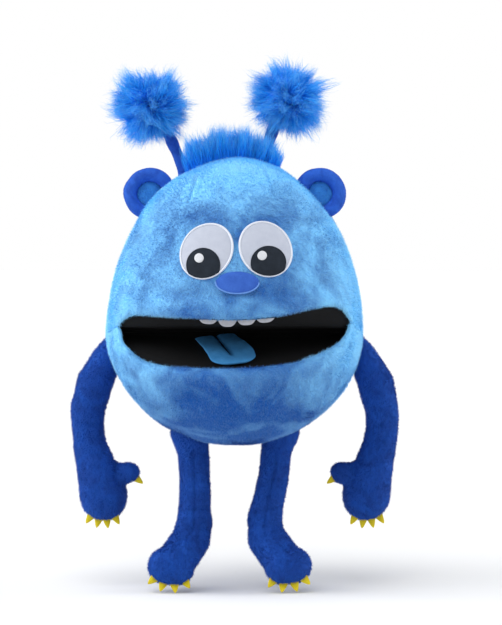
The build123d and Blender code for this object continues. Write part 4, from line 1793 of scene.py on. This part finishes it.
def join(parts: list) -> tuple:
    """Several (points, quads) as one."""
    points, faces, first = [], [], 0
    for own_points, own_faces in parts:
        points.append(own_points)
        faces.append(own_faces + first)
        first += len(own_points)
    return np.concatenate(points), np.concatenate(faces)


def strung(balls: list) -> list:
    """The lumps between neighbouring balls, each ball given as its middle and its radius."""
    return [lump(a, b, a_radius, b_radius) for (a, a_radius), (b, b_radius) in zip(balls[:-1], balls[1:])]


@dataclass
class Limb:
    """A stuffed plush limb in two lengths that meet between its joints.

    Subclasses give its lumps, joints, creases and claws.
    """

    side: Side
    voxel: float = 1.5 * MM
    smoothing: int = 10
    pile: Pile = field(default_factory=partial(Pile, 1.9e6, 1.7 * MM, 0.38 * MM, swirl=0.5))

    def shaped(self, lumps: list, creases: list, seed: int) -> tuple:
        """The limb's whole form with its creases and soft unevenness.

        Args:
            lumps: the rounded volumes it is made of.
            creases: lines that sink into it, as (line, depth, width).
            seed: what its unevenness is drawn from.

        Returns:
            The points and the quads.
        """
        points, quads = fused(lumps, self.voxel, self.smoothing)
        normal = point_normals(points, quads)
        out = 0.45 * MM * waves(points, 20 * MM, seed) + 0.2 * MM * waves(points, 8 * MM, seed + 1)
        for line, depth, width in creases:
            out -= depth * bump(line_distance(points, line), width)
        return points + normal * out[:, None], quads

    def split(
        self, length: str, node: str, form: tuple, part: np.ndarray, above: str, zone: tuple, seed: int
    ) -> None:
        """One length of the limb and its pile, standing in for its skin and stuffing and fixed where it is made.

        Args:
            length: what it is called.
            node: the node and body it stands for, without the side.
            form: the whole limb's points and quads.
            part: which quads are its own.
            above: the body that it hangs from; not used.
            zone: two places between its bodies, which change nothing.
            seed: what its pile is drawn from.
        """
        points, quads = form
        body = f"{self.side.word}_{node}"
        name = f"{self.side.word}_{length}_cover"
        own = quads[part]
        used = np.unique(own)
        renumber = np.zeros(len(points), int)
        renumber[used] = np.arange(len(used))
        points, own = points[used], renumber[own]
        cover = make_piece(name, points, [own], FINISH.limb)
        pile = self.pile.grow(f"{name}_pile", points, own, FINISH.limb_pile, seed, self.clear_of_seams)
        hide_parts(f"{body}_skin", f"{body}_stuffing")
        for piece in (cover, pile):
            Vector(zone[0])
            Vector(zone[1])
            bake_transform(piece)

    def clear_of_seams(self, roots: np.ndarray) -> np.ndarray:
        """Which fibres' roots stay: here every one."""
        return np.ones(len(roots), bool)

    def claw(self, centre: np.ndarray, degrees: float, forward: float, reach: float, size: tuple) -> tuple:
        """One claw.

        Args:
            centre: the middle of the ball it is sewn to.
            degrees: how far it turns from straight down towards +X.
            forward: how much it leans to the front.
            reach: its base's distance from that middle.
            size: its width and length in millimetres.

        Returns:
            Its points and its quads.
        """
        turn = math.radians(degrees)
        down = unit(np.array([math.sin(turn), -forward, -math.cos(turn)]))
        across = np.array([math.cos(turn), 0, math.sin(turn)])
        return claw_points(centre + down * reach, down, across, size[0] * MM, size[1] * MM)

    def claw_set(self, end: str, body: str, parts: list) -> None:
        """Makes one piece of a hand's or a foot's claws."""
        points, quads = join(parts)
        claws = make_piece(f"{self.side.word}_{end}_claw_set", points, [quads], FINISH.claw)
        fasten(claws, "claw_felt", f"{self.side.word}_{body}", f"{self.side.word}_{end}_claws")


# Balls along a limb: x, y, z and radius in millimetres. The arms' are given for the left side.
ARM_BALLS = (
    (90, -70, -12, 9.5), (98.5, -69, -24, 11.6), (107.5, -68, -42, 13.6), (112.0, -68, -60, 12.9),
    (112.6, -68, -74, 12.1), (111.0, -69, -88, 12.4), (107.5, -71, -100, 13.8), (102.2, -73, -115, 17.4),
    (100.0, -74, -128.0, 18.0),
)
THUMB_BALLS = ((93.5, -75, -112, 9.6), (80.8, -77, -109.0, 8.0))
LEG_BALLS = {
    Side.RIGHT: (
        (-34, -95.5, -76, 14.5), (-31.5, -95.5, -90, 11.9), (-30.3, -95.5, -112, 11.4),
        (-30.2, -95.5, -132, 11.9), (-30.9, -95.8, -146, 13.2), (-33.0, -98, -158, 14.2),
        (-39.5, -107, -167, 14.8), (-47.0, -117.5, -175.4, 14.0),
    ),
    Side.LEFT: (
        (34.5, -95.5, -76, 14.0), (31.5, -95.5, -90, 11.3), (28.8, -95.5, -112, 11.6),
        (25.2, -95.5, -130, 12.2), (22.0, -95.8, -145, 13.0), (24.4, -98, -157, 14.2),
        (31.5, -107, -166.5, 14.8), (39.2, -117.5, -175.2, 14.0),
    ),
}
LEG_Y = -95.5


@dataclass
class Arm(Limb):
    """Upper arm, forearm and mitten hand with a thumb and five claws."""

    palm: tuple = (100.0, -74.5, -128.0)
    thumb_tip: tuple = (80.8, -77.5, -109.0)
    finger_gaps: tuple = (91.5, 99.7, 107.9)
    finger_claws: tuple = (-30, -8, 13, 34)
    thumb_claw: float = -52

    def place(self, x: np.ndarray | float, y: np.ndarray | float, z: np.ndarray | float) -> np.ndarray:
        """Places given for the left side, in millimetres, on this arm's own side."""
        return np.stack(np.broadcast_arrays(x * self.side.value, y, z), -1) * MM

    def creases(self) -> list:
        """The folds at the elbow and the wrist, and the sewn lines of the thumb and fingers."""
        place = self.place
        bend = np.linspace(-1.5, 1.7, 12)
        cos, sin = np.cos(bend), np.sin(bend)
        share = np.linspace(0, 1, 8)
        lines = [
            (place(110.0 - 12.6 * cos, -68 - 12.8 * sin, -69.5 - 1.6 * bend), 1.3 * MM, 1.8 * MM),
            (place(106 - 14.2 * cos, -71 - 14.2 * sin, -99.5 - 2.2 * bend), 1.0 * MM, 2.0 * MM),
            (place(90.5 - 1.5 * share, -80 - 6 * np.sin(share * 3), -102 - 18 * share), 1.3 * MM, 1.8 * MM),
        ]
        round_tip = np.linspace(0.1, 1.5, 8)
        for x in self.finger_gaps:
            line = place(x, -74 - 18.0 * np.cos(round_tip), -128.5 - 18.0 * np.sin(round_tip))
            lines.append((line, 0.9 * MM, 1.3 * MM))
        return lines

    def build(self) -> None:
        """The arm in two lengths, its sewn fingers and its claws."""
        place = self.place
        lumps = strung([(place(x, y, z), r * MM) for x, y, z, r in ARM_BALLS])
        lumps += strung([(place(x, y, z), r * MM) for x, y, z, r in THUMB_BALLS])
        points, quads = self.shaped(lumps, self.creases(), 301)
        upper = points[quads].mean(axis=1)[:, 2] > -50 * MM
        zone = (place(94, -68.5, -22), place(104, -68, -46))
        self.split("arm", "upper_arm", (points, quads), upper, "head", zone, 310)
        zone = (place(108, -68, -55), place(106, -69, -86))
        above = f"{self.side.word}_upper_arm"
        self.split("hand", "forearm", (points, quads), ~upper, above, zone, 320)
        sign = self.side.value
        palm, tip = place(*self.palm), place(*self.thumb_tip)
        parts = [self.claw(palm, sign * turn, 0.18, 16.8 * MM, (6.6, 7.6)) for turn in self.finger_claws]
        parts.append(self.claw(tip, sign * self.thumb_claw, 0.1, 7.3 * MM, (6.0, 6.6)))
        self.claw_set("hand", "forearm", parts)
        log.info("%s arm: two lengths and claws", self.side.word)


@dataclass
class Leg(Limb):
    """A long straight leg and a foot turned outward, with a seam down its front and four claws."""

    toe_claws: tuple = (-44, -16, 13, 42)
    toes_turned: float = 6

    @property
    def balls(self) -> tuple:
        """The balls of this side's leg."""
        return LEG_BALLS[self.side]

    def seam(self) -> np.ndarray:
        """The sewn line down the front of the leg and over the foot."""
        front = [(x, y - r * 0.99, z) for x, y, z, r in self.balls[1:6]]
        x, y, z, r = self.balls[-2]
        front.append((x, y - r * 0.62, z + r * 0.72))
        x, y, z, r = self.balls[-1]
        front.append((x, y - r * 0.5, z + r * 0.84))
        front.append((x + self.side.value, y - r * 0.96, z + r * 0.2))
        return np.array(front) * MM

    def creases(self) -> list:
        """The seam, two folds across the shin and one over the ankle."""
        lines = [(self.seam(), 1.3 * MM, 1.3 * MM)]
        x, _, z, _ = np.array(self.balls[:6]).T
        turn = np.linspace(-1.1, 1.4, 10)
        for height, depth in ((-113, 0.8), (-134, 1.1)):
            across = np.interp(-height, -z, x) + 12.4 * np.sin(turn)
            ring = np.stack([across, LEG_Y - 12.4 * np.cos(turn), height + 1.5 * np.sin(turn * 1.7)], -1)
            lines.append((ring * MM, depth * MM, 1.9 * MM))
        x, y, z, r = self.balls[4]
        turn = np.linspace(-1.3, 1.3, 10)
        ankle = np.stack([x + r * np.sin(turn), y - r * np.cos(turn), z - 3 + 2.0 * np.cos(turn * 1.5)], -1)
        lines.append((ankle * MM, 1.2 * MM, 2.2 * MM))
        return lines

    def build(self) -> None:
        """The leg in two lengths, its seam and its claws."""
        balls, sign = self.balls, self.side.value
        x, y, z, radius = balls[-1]
        heel_to_toe = ((x - sign * 4, y - 1, z - 1.2, 12.9), (x + sign * 4.6, y, z, 13.6))
        lumps = []
        for group in (balls, heel_to_toe):
            lumps += strung([(np.array(ball[:3]) * MM, ball[3] * MM) for ball in group])
        points, quads = self.shaped(lumps, self.creases(), 401)
        upper = points[quads].mean(axis=1)[:, 2] > -127 * MM
        zone = [(balls[1][0] * MM, LEG_Y * MM, height * MM) for height in (-80, -104)]
        self.split("leg", "leg", (points, quads), upper, "jaw", zone, 410)
        zone = [(balls[4][0] * MM, LEG_Y * MM, height * MM) for height in (-132, -160)]
        self.split("foot", "foot", (points, quads), ~upper, f"{self.side.word}_leg", zone, 420)
        parts = []
        for degrees in self.toe_claws:
            turn = degrees + sign * self.toes_turned
            centre = np.array([x + math.sin(math.radians(turn)) * 3.6, y, z]) * MM
            parts.append(self.claw(centre, turn, 0.42, (radius - 1.0) * MM, (7.6, 8.2)))
        self.claw_set("foot", "foot", parts)
        log.info("%s leg: two lengths, seam and claws", self.side.word)

    def clear_of_seams(self, roots: np.ndarray) -> np.ndarray:
        """Which fibres' roots stand off the front seam."""
        return line_distance(roots, self.seam()) > 0.75 * MM


# ---- studio --------------------------------------------------------------------------------------------


@dataclass
class Studio:
    """A plain pale floor, soft light and the camera."""

    distance: float = 2.2
    aim: tuple = (0.0122, -0.135, 0.0152)
    elevation: float = 2.5
    seen_height: float = 0.4625
    surround: float = 0.36
    lamps: tuple = (
        ("top", (-0.25, -0.5, 1.0), 60, 1.9),
        ("left_side", (1.0, 0.05, 0.34), 50, 1.5),
        ("right_side", (-1.0, -0.1, 0.4), 50, 1.8),
    )

    def build(self) -> None:
        """Floor, world, lights and camera."""
        self.floor(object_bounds()[0].z)
        self.world()
        for name, way, spread, power in self.lamps:
            self.light(name, way, spread, power)
        self.camera()

    def floor(self, height: float) -> None:
        """A wide pale floor just under the lowest claw."""
        count = 64
        angle = np.arange(count) * TURN / count
        reach = np.array([0.001, 0.5, 2.0, 8.0])[:, None]
        level = np.full((4, count), height - 0.4 * MM)
        points = np.stack([reach * np.cos(angle), reach * np.sin(angle), level], -1)
        faces = [grid_faces(4, count)[:, ::-1]]
        floor = make_piece("studio_floor", points.reshape(-1, 3), faces, FloorFinish("studio_floor"))
        floor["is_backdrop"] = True

    def world(self) -> None:
        """An even pale surrounding."""
        world = bpy.data.worlds.new("studio")
        world.use_nodes = True
        nodes = world.node_tree.nodes
        lit = nodes["Background"]
        lit.inputs["Strength"].default_value = self.surround
        seen = nodes.new("ShaderNodeBackground")
        seen.inputs["Color"].default_value = (1.0, 1.0, 1.0, 1.0)
        lit.inputs["Color"].default_value = (0.96, 0.98, 1.0, 1.0)
        path = nodes.new("ShaderNodeLightPath")
        either = nodes.new("ShaderNodeMixShader")
        links = world.node_tree.links
        links.new(path.outputs["Is Camera Ray"], either.inputs[0])
        links.new(lit.outputs[0], either.inputs[1])
        links.new(seen.outputs[0], either.inputs[2])
        links.new(either.outputs[0], nodes["World Output"].inputs["Surface"])
        bpy.context.scene.world = world

    def light(self, name: str, way: tuple, spread: float, power: float) -> None:
        """One wide soft light.

        Args:
            name: its name.
            way: the direction it comes from.
            spread: how wide it is, in degrees.
            power: its strength.
        """
        lamp = bpy.data.lights.new(name, "SUN")
        lamp.angle = math.radians(spread)
        lamp.energy = power
        holder = bpy.data.objects.new(name, lamp)
        holder.rotation_mode = "QUATERNION"
        holder.rotation_quaternion = (-Vector(way)).to_track_quat("-Z", "Y")
        bpy.context.scene.collection.objects.link(holder)

    def camera(self) -> None:
        """The camera, a little above the puppet's middle and straight ahead of it."""
        lens = bpy.data.cameras.new("camera")
        lens.sensor_width = 36
        lens.lens = 36 * self.distance / self.seen_height
        holder = bpy.data.objects.new("camera", lens)
        rise = math.radians(self.elevation)
        back = Vector((0, -math.cos(rise), math.sin(rise)))
        holder.location = Vector(self.aim) + back * self.distance
        holder.rotation_mode = "QUATERNION"
        holder.rotation_quaternion = (-back).to_track_quat("-Z", "Y")
        bpy.context.scene.collection.objects.link(holder)
        bpy.context.scene.camera = holder
        bpy.context.scene.view_settings.view_transform = "Standard"


@dataclass(frozen=True)
class FloorFinish(Finish):
    """Matt white studio paper."""

    name: str

    def wire(self, shader: Shader) -> Material:
        """A barely uneven white."""
        cloud = shader.noise(0.3, 2.0)
        colour = shader.blend(shader.span(cloud, 0.3, 0.7), linear((240, 240, 240)), linear((246, 246, 246)))
        return shader.finish(colour, 0.9, 0.0, WHITE)


def main() -> None:
    """Builds the puppet part by part, then the studio."""
    logging.basicConfig(level=logging.INFO, format="%(name)s: %(message)s")
    form = BodyForm.from_frame()
    mouth = MouthLine(form)
    opening = Opening(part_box("opening_cuff")[1].x + 0.3 * MM)
    face = Face(form)
    Body(form, mouth, opening).build(face)
    opening.build()
    MouthLining(form, mouth).build()
    Teeth(form, mouth).build()
    Tongue().build()
    face.build()
    CrownTuft(form).build()
    for side in Side:
        Ear(side, form).build()
        Antenna(side, form).build()
        Arm(side).build()
        Leg(side).build()
    Studio().build()


if __name__ == "__main__":
    main()
